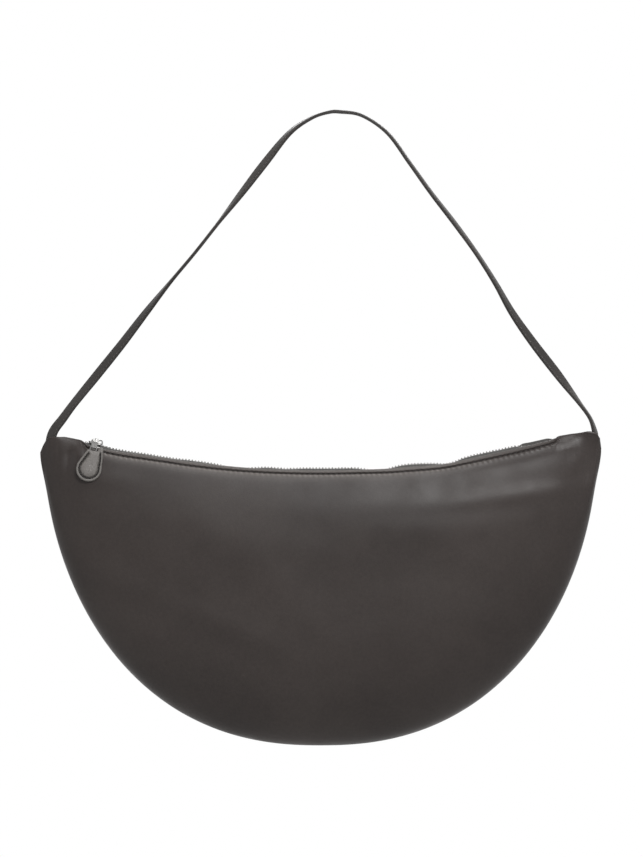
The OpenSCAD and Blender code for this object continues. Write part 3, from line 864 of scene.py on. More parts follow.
def liningRings(us):
    outer, below = panelSkin(us, [], liningPiece["farRows"])
    way = skinNormals(outer)
    v = below / below[:, -1:]
    x, z = outer[..., 0], outer[..., 2]
    across, down, slow = liningPiece["waves"]
    wave = liningPiece["ripple"] * np.sin(x / across + z / down) * np.sin(z / slow)
    wave = wave * smooth(v, 0.08, 0.3) * smooth(1 - v, 0.02, 0.2)
    near = liningPiece["gap"] + np.abs(wave)
    keep = slice(nearCount - 1, nearCount + liningPiece["farRows"] - 2)
    skin, back = ((outer - way * far[..., None])[:, keep] for far in (near, near + liningPiece["thickness"]))
    for part in (skin, back):
        part[..., 1] = np.minimum(part[..., 1], -liningPiece["middleGap"])
    back[..., 1] = np.maximum(back[..., 1], skin[..., 1] + 0.05)
    return np.concatenate([skin, back[:, ::-1]], 1)


share = liningPiece["endShare"]
piece = tubePiece("front_lining_cloth", onBag(liningRings(np.linspace(-share, share, 121))), liningCloth)
dress(piece, "bag", "front_lining")
for name, side in sides.items():
    rings = mirrored(liningRings(np.linspace(min(side, 0) * share, max(side, 0) * share, 61)))
    piece = tubePiece(f"back_lining_cloth_{name}", onBag(rings), liningCloth, cut=True)
    dress(piece, backBends[name], "back_lining")

# The binding inside the seam, which bridges the panels where the back bends away
seamBinding = {"inside": 1.35, "thickness": 0.4, "half": 3.2, "stations": 160, "end": 0.985, "room": 1.1}


def bindingRings():
    s = seamBinding
    us = np.linspace(-s["end"], s["end"], s["stations"])
    topX, topZ, x, z = shapeAt(us)
    way = unit(np.stack([np.gradient(x), np.gradient(z)], 1))
    length = np.hypot(x - topX, z - topZ)
    room = halfDepth(us, 1 - np.minimum(s["inside"] / length, 0.9)) - s["room"]
    half = np.clip(room, 0.12, s["half"])
    rings = []
    for y, layer in ((-1, 0), (0, 0), (1, 0), (1, 1), (0, 1), (-1, 1)):
        inside = s["inside"] + layer * s["thickness"]
        rings.append(np.stack([x - way[:, 1] * inside, y * half, z + way[:, 0] * inside], 1))
    return np.stack(rings, 1)


dress(tubePiece("seam_binding", onBag(bindingRings()), stayTape), "bag")
print("lining made")

# Zip: a tape with a rolled shoulder, which sinks behind the edge in two places as the bag hangs
zipShape = {
    "leftEnd": -169.8,
    "rightEnd": 172.4,
    "tops": [
        (-166, 3.65), (-157, 3.5), (-150, 3.3), (-140, 3.6), (-127, 4.2), (-104, 4.25), (-96, 4.7),
        (-84, 4.5), (-75, 4.0), (-66, 2.6), (-56, 2.1), (-50, 3.6), (-38, 4.75), (-25, 4.2), (-12, 5.0),
        (10, 5.0), (24, 4.9), (30, 4.1), (36, 2.7), (46, 2.2), (51, 3.5), (57, 4.7), (63, 5.1), (72, 4.8),
        (82, 3.8), (90, 2.4), (95, 2.5), (103, 4.9), (110, 5.8), (120, 6.4), (140, 6.9), (144.5, 7.0),
        (147, 4.2), (149.5, 3.65), (166, 3.65),
    ],
    "topWeights": ((-1, 0.15), (-0.5, 0.2), (0, 0.3), (0.5, 0.2), (1, 0.15)),
    "topEase": 3,
    "topToLevel": 1.0,
    "shoulderDrop": 0.7,
    "edge": 1.2,
    "thickness": 0.5,
    "inside": 1.7,
    "station": 1.5,
    "endSwell": 5.0,
    "toothPitch": 2.3,
    "teethHalf": 165.6,
    "backDrop": 1.5,
    "dropEnds": (149, 154),
}


def zipLevel(x):
    # Height of the tape and of the middle of the teeth over the arc, with its corners rounded
    z = zipShape
    return eased(lambda at: tableAt(z["tops"], at), x, z["topEase"], z["topWeights"]) - z["topToLevel"]


def tapeRings(low, high, endSwell):
    # From the teeth over the shoulder and down between the leather and the lining
    z = zipShape
    xs = np.linspace(low, high, int((high - low) / z["station"]) + 1)
    outer, _ = panelSkin(shareAt(xs), [], 8)
    inside = outer - skinNormals(outer) * z["inside"]
    swells = endSwell * (smooth(xs, 140, 150) - smooth(xs, 164, 174) * 0.6)
    rings = []
    for x, level, swell, skin in zip(xs, zipLevel(xs), swells, inside):
        edge = min(level, tableAt(mouthEdge["rise"], x) + 0.1) - z["shoulderDrop"] + swell
        chain = [(z["edge"], level), (2.2, level)]
        chain += [(3.3, mix(level, edge - swell, 0.35)), (4.25, mix(level, edge - swell, 0.8))]
        chain += [(4.5, mix(level, edge - swell, 0.85) + 0.85 * swell), (4.8, edge - 0.25)]
        face = [arcPlace(x, -y, up + z["thickness"] / 2) for y, up in chain]
        under = [arcPlace(x, -y + 0.1, up - z["thickness"] / 2) for y, up in chain]
        drop = np.array([0, z["thickness"], 0])
        rings.append(face + [skin[9], skin[14], skin[14] + drop, skin[9] + drop] + under[::-1])
    return np.array(rings, float)


tapeEnds = {"left": (zipShape["leftEnd"], 0), "right": (0, zipShape["rightEnd"])}
rings = onBag(tapeRings(zipShape["leftEnd"], zipShape["rightEnd"], 0.0))
dress(tubePiece("front_tape_cloth", rings, zipTape), "bag", "front_zip_tape")
for name, (low, high) in tapeEnds.items():
    rings = onBag(mirrored(tapeRings(low, high, zipShape["endSwell"])))
    piece = tubePiece(f"back_tape_cloth_{name}", rings, zipTape, cut=True)
    dress(piece, backBends[name], "back_zip_tape")

# Teeth: a broad foot over the tape and a narrower head that reaches past the middle
toothShape = {
    "width": 1.1,
    "height": 2.5,
    "cut": 0.3,
    # Place across the zip, and shares of the width and height there
    "sections": [
        (-2.1, 0.62, 0.72), (-1.85, 0.92, 0.95), (-0.9, 1.0, 1.0), (-0.35, 0.9, 0.96), (0.2, 0.86, 0.86),
        (0.65, 0.8, 0.72), (0.85, 0.45, 0.4),
    ],
}


def toothRings(side):
    t = toothShape
    rings = []
    for y, w, h in t["sections"]:
        outline = cutCorners(w * t["width"] / 2, h * t["height"] / 2, t["cut"], t["cut"])
        rings.append([[x, side * y, z] for x, z in outline])
    return rings


def teeth(name, item, first, last, drop=0):
    xs = np.linspace(first, last, 200)
    level = zipLevel(xs) - drop * (1 - smooth(np.abs(xs), *zipShape["dropEnds"]))
    path = onBag(arcPlace(xs, 0, level))
    return repeatAlong(name, [path], zipShape["toothPitch"], item, zipMetal, levelTurn)


frontTooth = tubePiece("front_tooth", toothRings(1), zipMetal)
backTooth = tubePiece("back_tooth", toothRings(-1), zipMetal)
halfPitch = zipShape["toothPitch"] / 2
end = zipShape["teethHalf"]
dress(teeth("front_teeth", frontTooth, -end, end), "bag", "front_zip_teeth")
for name, first, last in (("left", -end + halfPitch, 0), ("right", halfPitch - 0.1, end - halfPitch)):
    piece = teeth(f"back_teeth_{name}", backTooth, first, last, zipShape["backDrop"])
    dress(piece, backBends[name], "back_zip_teeth")
for tooth in (frontTooth, backTooth):
    bpy.data.objects.remove(tooth)


def roundedBox(size, middle, corner):
    # A block with softened edges, as rings along x
    length, width, height = size
    rings = []
    for x, inset in ((0, corner), (corner * 0.3, corner * 0.3), (corner, 0)):
        rings.append((-length / 2 + x, inset))
    rings += [(-x, inset) for x, inset in rings[::-1]]
    cut = corner * 0.8
    for k, (x, inset) in enumerate(rings):
        outline = cutCorners(width / 2 - inset, height / 2 - inset, cut, cut)
        rings[k] = [[x, y, z] for y, z in outline]
    return np.array(rings, float) + np.array(middle)


def atArc(angle):
    # Turns local points, x along the zip and z up from the lips' line, to their place on the mouth
    c, s = cosSin(angle)

    def turn(points):
        points = np.asarray(points, float)
        x, y, z = points[..., 0], points[..., 1], points[..., 2] - bagShape["mouthRadius"]
        return onBag(np.stack([x * c - z * s, y, x * s + z * c + arcZ], -1))

    return turn


stopShape = {
    "angle": 13.679,
    "length": 1.6,
    "height": 2.2,
    "level": 2.6,
    "half": 1.7,
    "gap": 0.12,
    "corner": 0.3,
}


def stopPiece(name, side, low, high, moves, node):
    s = stopShape
    rings = roundedBox((s["length"], high - low, s["height"]), (0, (low + high) / 2, s["level"]), s["corner"])
    dress(tubePiece(name, atArc(side * s["angle"])(rings), zipMetal), moves, node)


half, gap = stopShape["half"], stopShape["gap"]
stopPiece("front_top_clamp", -1, -half, -gap, "bag", "front_top_stop")
stopPiece("back_top_clamp", -1, gap, half, backBends["left"], "back_top_stop")
stopPiece("bottom_clamp", 1, -half, half, "bag", "zip_bottom_stop")
print("zip made")

# The turned leather under the ridge at each end of the zip, whose edge shows in the opening
endFold = {
    "from": 169.6,
    "to": 185.6,
    "thickness": 0.8,
    "under": 0.8,
    "drop": 5.2,
    "slack": 1.75,
    "lift": 0.9,
    "liftUntil": 172.5,
    "liftOver": 3.0,
    "roundPower": 3.2,
    "stations": 26,
    "around": 15,
}


def endFoldRings(side):
    e = endFold
    rings = []
    for x in np.linspace(e["from"], e["to"], e["stations"]):
        rise = float(tableAt(mouthEdge["rise"], side * x))
        half = float(lipAt(x)) - e["slack"]
        top = rise - e["under"] + e["lift"] * float(smooth(e["liftUntil"] - x, 0, e["liftOver"]))
        outer, inner = [], []
        for k in np.linspace(-1, 1, e["around"]):
            y = k * half
            up = top - e["drop"] * abs(k) ** e["roundPower"]
            outer.append(arcPlace(side * x, y, up))
            inner.append(arcPlace(side * x, y * (1 - e["thickness"] / half * 0.9), up - e["thickness"]))
        rings.append(outer + inner[::-1])
    return np.array(rings, float)


for name, side in sides.items():
    piece = tubePiece(f"{name}_zip_end_fold", onBag(endFoldRings(side)), bagLeather)
    dress(piece, "bag", f"{name}_zip_end_cap")

# Stitching along the mouth, front and back
mouthThread = grain(length=3.1, width=0.75, height=0.6)


def mouthStitches(name, side, low, high):
    # Thread in the groove of the panel's skin
    xs = np.linspace(low, high, 400)
    skin, below = panelSkin(shareAt(xs), [])
    line = []
    for at, depths, spots in zip(tableAt(mouthEdge["stitch"], xs), below[:, :nearCount], skin[:, :nearCount]):
        x, y, z = (np.interp(at, depths, spots[:, axis]) for axis in range(3))
        line.append([x, y * side - 0.05 * side, z])
    return repeatAlong(name, [onBag(line)], stitchLine["pitch"], mouthThread, darkThread, change=0.06)


stitchEnd = 43.5 * stitchLine["pitch"]
dress(mouthStitches("front_mouth_stitches", 1, -stitchEnd, stitchEnd), "bag")
for name, low, high in (("left", -stitchEnd, 0), ("right", stitchLine["pitch"] / 2, stitchEnd)):
    dress(mouthStitches(f"back_mouth_stitches_{name}", -1, low, high), backBends[name])
bpy.data.objects.remove(mouthThread)
print("mouth stitched")

# Strap: two plies over a tape, twisted, with a sewn line inside each edge
strapShape = {
    "width": 7.6,
    "thickness": 2.2,
    "coreWidth": 4.4,
    "coreThickness": 0.5,
    "steps": 10,
    "crown": 0.12,
    "grooveAt": 2.65,
    "grooveWidth": 0.42,
    "grooveDepth": 0.32,
    "stitchPitch": 2.9,
    "stitchSunk": 0.16,
    "stitchFrom": -233.5,
    "bendLow": -236.8,
    "bendHigh": -226.2,
    # x from the bag's middle, height, turn in degrees
    "route": [
        (-193.4, -243, 10), (-194.1, -236, 24), (-191.8, -228.5, 34), (-185.1, -219.5, 42),
        (-177.1, -208.7, 47), (-159.6, -187.1, 40), (-142.3, -165.5, 45), (-125.8, -143.9, 57),
        (-108.5, -122.3, 80),
        (-90.4, -100.7, 86), (-73.4, -79.1, 83), (-56.6, -57.5, 60), (-40.0, -35.9, 50), (-22.4, -14.5, 69),
        (-6.9, -3.8, 80), (5.9, 0.5, 88), (14.5, 0.8, 90), (30, -1.9, 86), (48.4, -14.5, 81),
        (64.2, -35.9, 79), (79.7, -57.5, 76), (96.4, -79.1, 72), (112.1, -100.7, 74), (125.9, -122.3, 70),
        (138.2, -143.9, 57),
        (153.3, -165.5, 44), (170, -187.1, 43), (186.4, -208.7, 76), (194.0, -219.5, 79), (197.2, -228.2, 70),
        (197.9, -232.5, 64), (196.4, -238, 36), (193.4, -243, 14),
    ],
}


def strapFrames():
    # A smooth curve through the route, with the strap's directions across and through at each point
    route = np.array(strapShape["route"], float)
    last = len(route) - 1
    line = []
    for i in range(last):
        a, b, c, d = route[max(i - 1, 0)], route[i], route[i + 1], route[min(i + 2, last)]
        for t in (k / strapShape["steps"] for k in range(strapShape["steps"])):
            bend = (2 * a - 5 * b + 4 * c - d) * t**2 + (3 * b - a - 3 * c + d) * t**3
            line.append(0.5 * (2 * b + (c - a) * t + bend))
    line = np.array(line + [route[last]])
    way = unit(np.gradient(line[:, :2], axis=0))
    turn = np.radians(line[:, 2])[:, None]
    zero = np.zeros(len(line))
    flat = np.stack([-way[:, 1], zero, way[:, 0]], 1)
    across = np.cos(turn) * flat + np.sin(turn) * np.array([0, 1, 0])
    through = np.cross(np.stack([way[:, 0], zero, way[:, 1]], 1), across)
    return np.stack([line[:, 0], zero, line[:, 1]], 1), across, through


strapMiddle, strapAcross, strapThrough = strapFrames()


def strapLine(across, through):
    return strapMiddle + across * strapAcross + through * strapThrough


def strapFace(side):
    # One ply's section: round edges, a crown with two sewn grooves, and a channel for the core
    s = strapShape
    w, t = s["width"] / 2, s["thickness"] / 2
    edge = [(w - 0.05, 0.04), (w, 0.3), (w - 0.06, 0.72), (w - 0.3, t - 0.1)]
    chain = [(-x, y) for x, y in edge]
    for x in np.linspace(-w + 0.55, w - 0.55, 25):
        dip = s["grooveDepth"] * float(hump(abs(x), s["grooveAt"], s["grooveWidth"]))
        chain.append((float(x), t + s["crown"] * (1 - (x / w) ** 2) - dip))
    cw, ct = s["coreWidth"] / 2, s["coreThickness"] / 2 + 0.05
    chain += edge[::-1] + [(cw + 0.1, 0.04), (cw, ct), (-cw, ct), (-cw - 0.1, 0.04)]
    return [(x, side * y) for x, y in chain]


# The strap's lowest part stays in the corners, and bends where the bag swings under it
bendZ = (strapShape["bendLow"], strapShape["bendHigh"])
strapBend = ("bag", "strap", *((bagShape["middle"] * toMetres, 0, z * toMetres) for z in bendZ))
cw, ct = strapShape["coreWidth"] / 2, strapShape["coreThickness"] / 2
coreChain = [(-cw, -ct), (0, -ct), (cw, -ct), (cw, ct), (0, ct), (-cw, ct)]
for name, chain, finish, node, slot in (
    ("strap_face_leather", strapFace(1), strapLeather, "strap_face", "strap_leather"),
    ("strap_back_leather", strapFace(-1), strapLeather, "strap_backing", "strap_leather"),
    ("strap_inner_tape", coreChain, stayTape, "strap_core", "stay_tape"),
):
    rings = np.stack([strapLine(across, through) for across, through in chain], 1)
    dress(tubePiece(name, onBag(rings), finish), strapBend, node)

strapGrain = grain(length=2.3, width=0.5, height=0.42, around=6, along=5)
at, top = strapShape["grooveAt"], strapShape["thickness"] / 2 - strapShape["stitchSunk"]
free = strapMiddle[:, 2] > strapShape["stitchFrom"]
paths = [onBag(strapLine(x, y)[free]) for x in (-at, at) for y in (-top, top)]
pitch = strapShape["stitchPitch"]
dress(repeatAlong("strap_stitches", paths, pitch, strapGrain, strapThread, change=0.05, seed=4), strapBend)
bpy.data.objects.remove(strapGrain)

# The sewn end of the strap inside each corner, and the folded patch that holds it
strapTail = {"top": -241.5, "bottom": -252.0, "width": 7.4, "thickness": 2.0, "left": -191.8, "right": 192.0}
cornerPatch = {"half": 6.4, "inner": 1.25, "thickness": 0.55, "top": -238.6, "bottom": -257.4, "inwards": 3.3}


def tailRings(x):
    s = strapTail
    rings = []
    for z, k in ((s["top"], 1), (s["bottom"] + 1.5, 1), (s["bottom"] + 0.4, 0.85), (s["bottom"], 0.55)):
        w, t = s["width"] / 2 * (0.6 + 0.4 * k), s["thickness"] / 2 * k
        rings.append([[x + p, q, z] for p, q in cutCorners(w, t, 0.4, t * 0.5)])
    return np.array(rings, float)


def patchRings(x):
    # A strip folded round the strap's end, from the front up to the back
    p = cornerPatch
    radius = p["inner"] + p["thickness"]
    turn = p["bottom"] + radius
    under = [cosSin(angle) for angle in np.linspace(180, 360, 13)]
    outer, inner = (
        [(-r, p["top"])] + [(r * c, turn + r * s) for c, s in under] + [(r, p["top"])]
        for r in (radius, p["inner"])
    )
    ring = np.array(outer + inner[::-1])
    middle = (ring + np.array(inner + outer[::-1])) / 2
    ends = []
    for at, share in ((-p["half"], 0.55), (-p["half"] + 0.3, 1.0), (p["half"] - 0.3, 1.0), (p["half"], 0.55)):
        ends.append([[x + at, y, z] for y, z in mix(middle, ring, share)])
    return np.array(ends, float)


for name, side in sides.items():
    piece = tubePiece(f"{name}_strap_tail", onBag(tailRings(strapTail[name])), strapLeather)
    dress(piece, "bag", f"{name}_strap_end")
    rings = patchRings(strapTail[name] - side * cornerPatch["inwards"])
    piece = tubePiece(f"{name}_corner_fold", onBag(rings), stayTape)
    dress(piece, "bag", f"{name}_corner_patch")
print("strap made")

# Slider: two plates, a post between them, their flanges, and a bridge that carries the link
sliderShape = {
    "angle": -13.150,
    "length": 10.6,
    "width": 8.2,
    "plate": 0.8,
    "plateTop": 4.75,
    "plateBottom": 0.4,
    "squareness": 0.62,
    "post": (1.1, 1.8, 3.4),
    "postInset": 0.75,
    "postZ": 2.6,
    "flange": (8.4, 0.9),
    "flangeX": 0.1,
    "flangeY": 3.5,
    "flanges": [(1.15, 3.6), (0.9, 1.3)],  # height and place of the upper and lower flange
    "barZ": 6.2,
    "barRadius": 0.5,
    "barThick": 0.47,
    "bridge": [
        (-3.15, 4.4), (-2.95, 5.2), (-2.85, 6.1), (-1.6, 6.2), (1.6, 6.2), (4.15, 6.9), (4.55, 5.4),
        (4.75, 4.4),
    ],
    "bridgeMiddle": 0.8,
    "footFrom": (2.2, 3.8),
    "footHalf": 1.15,
}
atSlider = atArc(sliderShape["angle"])


def plateRings(low, high, dome):
    s = sliderShape

    def outline(inset, z, share=1.0):
        ring = []
        for t in np.linspace(0, 2 * math.pi, 48, endpoint=False):
            c, q = squaredTurn(t, s["squareness"])
            x = c * (s["length"] / 2 - inset)
            taper = 1 - 0.16 * float(smooth(-x, 0.5, s["length"] / 2))
            ring.append([x * share, q * (s["width"] / 2 - inset) * taper * share, z])
        return ring

    steps = [(0.45, low), (0.16, low + 0.08), (0.0, low + 0.25)]
    steps += [(0.0, high - 0.3), (0.14, high - 0.1), (0.42, high)]
    rings = [outline(inset, z) for inset, z in steps]
    rings += [outline(0.42, high + dome * (1 - share**2), share) for share in (0.75, 0.5, 0.25)]
    return np.array(rings)


def sectionSweep(path, halfWide, halfThick, wide, count=16):
    # A rounded section swept along a path: wide is the section's fixed direction
    path = np.asarray(path, float)
    wide = np.asarray(wide, float)
    turns = [squaredTurn(t, 0.6) for t in np.linspace(0, 2 * math.pi, count, endpoint=False)]
    rings = []
    for p, w, half in zip(path, unit(np.gradient(path, axis=0)), np.broadcast_to(halfWide, len(path))):
        thick = unit(np.cross(w, wide))
        rings.append([p + wide * (half * c) + thick * (halfThick * q) for c, q in turns])
    return np.array(rings)


def rounded(points):
    # A smooth line through corner points
    points = np.asarray(points, float)
    for _ in range(3):
        cut = [mix(a, b, share) for a, b in zip(points[:-1], points[1:]) for share in (0.25, 0.75)]
        points = np.array([points[0]] + cut + [points[-1]])
    return points


s = sliderShape
shells = [
    plateRings(s["plateTop"] - s["plate"], s["plateTop"], 0.1),
    plateRings(s["plateBottom"], s["plateBottom"] + s["plate"], 0.0),
    roundedBox(s["post"], (-s["length"] / 2 + s["postInset"], 0, s["postZ"]), 0.3),
]
for side in sides.values():
    for height, z in s["flanges"]:
        shells.append(roundedBox((*s["flange"], height), (s["flangeX"], side * s["flangeY"], z), 0.25))
piece = meshPiece("slider_shell", sliderMetal, *joined([tube(atSlider(shell)) for shell in shells]))
dress(piece, "slider", "slider_body")

path = rounded([(x, 0, z) for x, z in s["bridge"]])
wide = mix(s["barRadius"], s["footHalf"], smooth(np.abs(path[:, 0] - s["bridgeMiddle"]), *s["footFrom"]))
rings = sectionSweep(path, wide, s["barThick"], (0, 1, 0))
dress(tubePiece("slider_bridge", atSlider(rings), sliderMetal), "slider", "slider_crown")

# The metal link that carries the pull: a ring round the bridge, a bent plate, two arms and a lower bar
linkShape = {
    "ringOuter": 1.32,
    "ringInner": 0.66,
    "ringHalf": 1.2,
    "pivotY": -10.2,
    "pivotZ": -1.0,
    "half": 2.2,
    "thick": 0.4,
    "neckHalf": 1.2,
    "neckTo": (3.2, 5.0),
    # y and z of the plate, then of the fork's two arms by x
    "plate": [
        (-0.9, 5.63), (-2.5, 5.58), (-4.3, 6.03), (-8.3, 6.03), (-10.2, 5.83), (-10.2, 3.4), (-10.2, 1.2),
        (-10.2, 0.65),
    ],
    "arm": [(2.05, 1.1), (2.3, 0.2), (2.4, -1.0), (2.4, -1.55)],
    "armHalf": (0.4, 0.42),
    "barHalf": 2.6,
    "barRadius": 0.55,
}


def ringShell():
    k = linkShape
    half, inner, outer = k["ringHalf"], k["ringInner"], k["ringOuter"]
    section = [(-half, inner + 0.15), (-half + 0.15, inner), (half - 0.15, inner), (half, inner + 0.15)]
    section += [(half, outer - 0.2), (half - 0.25, outer), (-half + 0.25, outer), (-half, outer - 0.2)]
    turns = map(cosSin, np.linspace(0, 360, 33)[:-1])
    return np.array([[[x, r * c, sliderShape["barZ"] + r * q] for x, r in section] for c, q in turns])


k = linkShape
path = rounded([(0, y, z) for y, z in k["plate"]])
wide = mix(k["neckHalf"], k["half"], smooth(-path[:, 1], *k["neckTo"]))
shells = [sectionSweep(path, wide, k["thick"], (1, 0, 0), 20)]
for side in sides.values():
    path = rounded([(side * x, k["pivotY"], z) for x, z in k["arm"]])
    shells.append(sectionSweep(path, *k["armHalf"], (1, 0, 0), 12))
path = [(x, k["pivotY"], k["pivotZ"]) for x in np.linspace(-k["barHalf"], k["barHalf"], 6)]
shells.append(sectionSweep(path, k["barRadius"], k["barRadius"], (0, 1, 0), 16))
points, faces, _ = joined([closedRing(atSlider(ringShell()))] + [tube(atSlider(shell)) for shell in shells])
dress(meshPiece("pull_link_cast", sliderMetal, points, faces), "link", "pull_link")
print("slider made")

# The leather pull: a padded drop inside a sewn rim
pullShape = {
    # x, z and radius of the three corners
    "discs": [(0.15, -14.1, 9.15), (5.5, 1.3, 1.7), (-2.3, -1.3, 1.8)],
    "spine": [(0.3, -15.6), (1.3, -7.5), (4.3, -3.0), (5.5, 0.8)],
    # The top edge gives way to the link
    "notch": [(-9, -0.6), (3.0, -0.6), (3.9, 2.2), (6.0, 6.0), (9, 6.0)],
    "topFrom": (-2.2, -0.8),
    "lean": 9.0,
    "split": 0.6,
    "mostInset": 0.8,
    "crestFrom": 0.55,
    "stitchPitch": 2.4,
    "threadPitch": 0.93,
    "grooveInset": 2.35,
    "around": 160,
    # The face over the rim and the groove: distance from the edge, height, and how far it waves
    "face": [
        (0, 0.7, 0), (0.08, 1.1, 0), (0.28, 1.45, 0), (0.6, 1.68, 0), (1.0, 1.75, 0), (1.3, 1.7, 0.1),
        (1.55, 1.4, 0.25), (1.8, 0.6, 0.3), (2.1, 0.15, 0.1), (2.8, 0.2, -0.25), (3.1, 0.9, -0.3),
        (3.4, 1.5, -0.2), (3.8, 1.9, 0),
    ],
    "middle": [(4.6, 2.25), (6.0, 2.5), (7.5, 2.6)],
    "innerShares": (0.15, 0.3, 0.5, 0.7, 0.85),
    # The face where no stitching runs, and its height by the place on the spine
    "plainFace": [(0, 0.7), (0.08, 1.1), (0.28, 1.45), (0.6, 1.68), (1.2, 1.8), (7.5, 2.5)],
    "crest": [(-20, 2.6), (-14, 2.65), (-6, 2.4), (-2, 2.15), (2.6, 1.75)],
    # Painted shade in the groove, partly dark dye, and the back's height, by distance from the edge
    "shade": [(1.55, 0), (1.8, 0.9), (2.1, 1), (2.8, 0.35), (3.1, 0)],
    "back": [
        (0.0, 1.0), (0.1, 1.35), (0.4, 1.56), (0.9, 1.6), (1.9, 1.5), (2.3, 1.32), (2.7, 1.5), (3.4, 1.6),
    ],
    # Distance from the edge, depth, and share of the way to the spine
    "padding": [
        (3.3, 0.3, 0), (3.1, 0.0, 0), (3.2, -0.5, 0), (3.5, -0.9, 0.1), (3.6, -1.2, 0.5), (3.6, -1.3, 0.9),
    ],
    # Depth and height of the tongue, which runs on into the loop
    "tongue": [(1.3, -5.0), (1.3, -3.0), (1.22, -1.4)],
    "tongueHalf": (1.8, 0.26),
    "loopRadius": 1.03,
    "loopTurns": range(0, 250, 15),
}
sewnFace = [(inset, height) for inset, height, _ in pullShape["face"]] + pullShape["middle"]


def atPull(points):
    c, s = cosSin(-pullShape["lean"])
    points = np.asarray(points, float)
    x, y, z = points[..., 0], points[..., 1], points[..., 2]
    y, z = y * c - z * s, y * s + z * c
    return atSlider(np.stack([x, y + linkShape["pivotY"], z + linkShape["pivotZ"]], -1))


def nearestOnSpine(points):
    spine = np.array(pullShape["spine"], float)
    spots = []
    for a, b in zip(spine[:-1], spine[1:]):
        share = np.clip((points - a) @ (b - a) / ((b - a) @ (b - a)), 0, 1)
        spots.append(a + share[:, None] * (b - a))
    nearest = np.argmin(np.linalg.norm(np.array(spots) - points, axis=2), axis=0)
    return np.array(spots)[nearest, np.arange(len(points))]


def dropOutline():
    # The outline of the pull, evenly spaced, with its place along the edge
    raw = []
    for a in np.radians(np.arange(0, 360, 1.0)):
        n = np.array([math.cos(a), math.sin(a)])
        x, z, radius = max(pullShape["discs"], key=lambda disc: disc[0] * n[0] + disc[1] * n[1] + disc[2])
        raw.append(np.array([x, z]) + radius * n)
    raw = np.array(raw + [raw[0]])
    shares = np.linspace(0, 1, 9)[:-1, None]
    fine = np.concatenate([mix(a, b, shares) for a, b in zip(raw[:-1], raw[1:])] + [raw[:1]])
    fine[:, 1] = np.minimum(fine[:, 1], tableAt(pullShape["notch"], fine[:, 0]))
    steps = np.concatenate([[0], np.cumsum(np.linalg.norm(np.diff(fine, axis=0), axis=1))])
    at = np.linspace(0, steps[-1], pullShape["around"], endpoint=False)
    return np.stack([np.interp(at, steps, fine[:, k]) for k in (0, 1)], 1), at, steps[-1]


dropLine, dropAt, dropLength = dropOutline()
dropSpine = nearestOnSpine(dropLine)
dropReach = np.linalg.norm(dropSpine - dropLine, axis=1)
dropTop = smooth(dropLine[:, 1], *pullShape["topFrom"])  # 1 along the top edge, where no stitching runs
stitchCount = round(dropLength / pullShape["stitchPitch"])


def dropRing(inset, y, wave=0.0, toSpine=0.0):
    # A ring at that distance inside the edge. Without a height it lies on the padded face
    beat = np.cos(2 * np.pi * stitchCount * dropAt / dropLength)
    most = pullShape["mostInset"] + 0.01 * inset
    share = mix(np.clip(inset / dropReach, 0, most), 1, toSpine)
    if y is None:
        sewn, plain = (tableAt(table, share * dropReach) for table in (sewnFace, pullShape["plainFace"]))
        crest = tableAt(pullShape["crest"], dropSpine[:, 1])
        y = -mix(mix(sewn, plain, dropTop), crest, smooth(share, pullShape["crestFrom"], 1.0))
    moved = np.clip(share + wave * 0.5 * beat * (1 - toSpine) / dropReach, 0, most if toSpine == 0 else 1)
    flat = mix(dropLine, dropSpine, moved[:, None])
    return np.column_stack([flat[:, 0], np.broadcast_to(y, len(flat)), flat[:, 1]])


split = pullShape["split"]
rings = [dropRing(0.5, split - 0.02), dropRing(0.0, split - 0.3)]
rings += [dropRing(inset, None, wave) for inset, _, wave in pullShape["face"]]
inner = [dropRing(3.8, None, 0, share) for share in pullShape["innerShares"]]
piece = tubePiece("pull_face_leather", atPull(rings + inner), pullLeather)
insets = [0, 0] + [inset for inset, _, _ in pullShape["face"]] + [math.inf] * len(inner)
# Painted shade, partly dark dye, in the stitched groove but not along the top edge
secondTone(piece, tableAt(pullShape["shade"], insets)[:, None] * (1 - dropTop))
dress(piece, "tab", "tab_front_leather")

rings = [dropRing(inset, y, 0, share) for inset, y, share in pullShape["padding"]]
piece = tubePiece("pull_padding", atPull(rings), stayTape)
dress(piece, "tab", "tab_padding")

# The back leather, its tongue down onto the pull and its loop round the link's bar
rings = [dropRing(0.4, split + 0.02), dropRing(0.05, split + 0.15)]
rings += [dropRing(inset, y) for inset, y in pullShape["back"]]
rings += [dropRing(3.4, 1.6, 0, share) for share in (0.4, 0.8)]
radius = pullShape["loopRadius"]
path = [(0, y, z) for y, z in pullShape["tongue"]]
path += [(0, radius * c, radius * s) for c, s in map(cosSin, pullShape["loopTurns"])]
tongue = sectionSweep(path, *pullShape["tongueHalf"], (1, 0, 0), 16)
parts = [tube(atPull(rings)), tube(atPull(tongue))]
dress(meshPiece("pull_back_leather", rawEdge, *joined(parts)), "tab", "tab_back_leather")

pullGrain = grain(length=1.9, width=0.75, height=0.6)
line = dropRing(pullShape["grooveInset"], -0.6)
line = line[(dropTop < 0.3) & (dropReach > 3.4)]
gaps = np.linalg.norm(np.diff(line, axis=0, append=line[:1]), axis=1)
line = np.roll(line, -int(np.argmax(gaps)) - 1, axis=0)
pitch = pullShape["stitchPitch"] * pullShape["threadPitch"]
dress(repeatAlong("pull_stitches", [atPull(line)], pitch, pullGrain, darkThread, change=0.05, seed=7), "tab")
bpy.data.objects.remove(pullGrain)
print("pull made")

# Room: a pale floor under the hanging bag, white beyond it, and soft light from all round
room = {
    "floorZ": -600,
    "floorHalf": 4000,
    "clearFrom": 0.28,
    "clearTo": 0.5,
    "fill": (0.80, 0.80, 0.80),
    "fillStrength": 0.38,
}


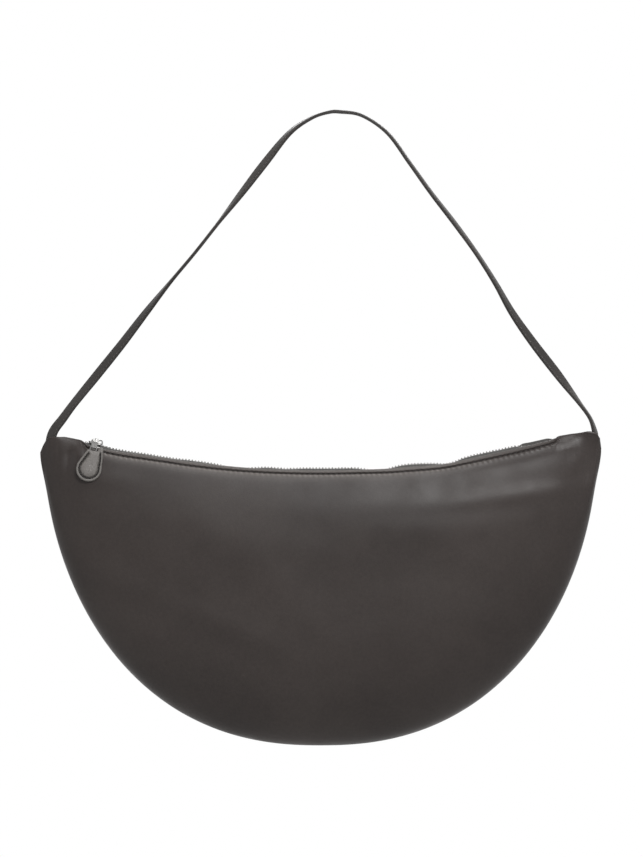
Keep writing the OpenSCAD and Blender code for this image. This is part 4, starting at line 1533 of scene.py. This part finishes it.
def makeFloor():
    f = Finish("pale_floor")
    here = f.place()
    grainy = f.ramp(f.noise(here, 30.0, 4.0), [(0.3, (0.78, 0.78, 0.775)), (0.7, (0.82, 0.82, 0.815))])
    f.set(Base_Color=grainy, Roughness=0.7)
    f.bump(f.noise(here, 260.0, 3.0), 0.2, 0.0004)
    flat = f.joining(f.add("ShaderNodeVectorMath", {"operation": "MULTIPLY"}), here, (1, 1, 0))
    away = f.add("ShaderNodeVectorMath", {"operation": "LENGTH"}, Vector=flat)
    far = f.spread(away.outputs["Value"], 0.0, 1.0, room["clearFrom"], room["clearTo"])
    white = f.add("ShaderNodeEmission", Color=(1, 1, 1), Strength=1.0)
    f.show(f.math("MULTIPLY", f.seen(), far), f.shader, white, "Material Output")
    h, z = room["floorHalf"], room["floorZ"]
    meshPiece("floor", f, [(-h, -h, z), (h, -h, z), (h, h, z), (-h, h, z)], [[0, 1, 2, 3]])


def makeWorld():
    world = Finish("studio", bpy.data.worlds)
    bpy.context.scene.world = world.material
    fill = world.tree.nodes["Background"]
    world.put(fill, "Color", room["fill"])
    world.put(fill, "Strength", room["fillStrength"])
    white = world.add("ShaderNodeBackground", Color=(1, 1, 1), Strength=1.0)
    world.show(world.seen(), fill, white, "World Output")


lamps = {
    # place, aim, size, power
    "key_soft": ((0.30, -1.10, 0.68), (0.0, 0.0, -0.27), 0.46, 15.0),
    "top_soft": ((0.15, -0.35, 1.15), (0.0, 0.0, -0.27), 0.7, 8.0),
    "low_soft": ((0.1, -1.3, -0.95), (0.0, 0.0, -0.38), 0.8, 1.6),
    "right_soft": ((1.6, -0.9, 0.2), (0.0, 0.0, -0.3), 0.9, 2.2),
    "left_soft": ((-1.6, -0.9, 0.2), (0.0, 0.0, -0.3), 0.9, 1.2),
    "back_soft": ((0.0, 1.6, 0.7), (0.0, 0.0, -0.3), 1.2, 14.0),
}


def makeLamps():
    for name, (place, aim, size, power) in lamps.items():
        lamp = bpy.data.lights.new(name, "AREA")
        lamp.shape = "DISK"
        lamp.size = size
        lamp.energy = power
        piece = inScene(name, lamp)
        piece.location = place
        piece.rotation_euler = (Vector(aim) - Vector(place)).to_track_quat("-Z", "Y").to_euler()


cameraView = {"lens": 150.0, "middle": (-0.0122, -0.2271), "height": 0.617, "sensor": 36.0}


def makeCamera():
    c = cameraView
    data = bpy.data.cameras.new("front_view")
    data.lens = c["lens"]
    data.sensor_width = c["sensor"]
    camera = inScene("front_view", data)
    x, z = c["middle"]
    camera.location = (x, -c["lens"] / c["sensor"] * c["height"], z)
    camera.rotation_euler = (math.radians(90), 0, 0)
    bpy.context.scene.camera = camera


makeFloor()
makeWorld()
makeLamps()
makeCamera()
bpy.context.scene.view_settings.view_transform = "Standard"
print("room made")
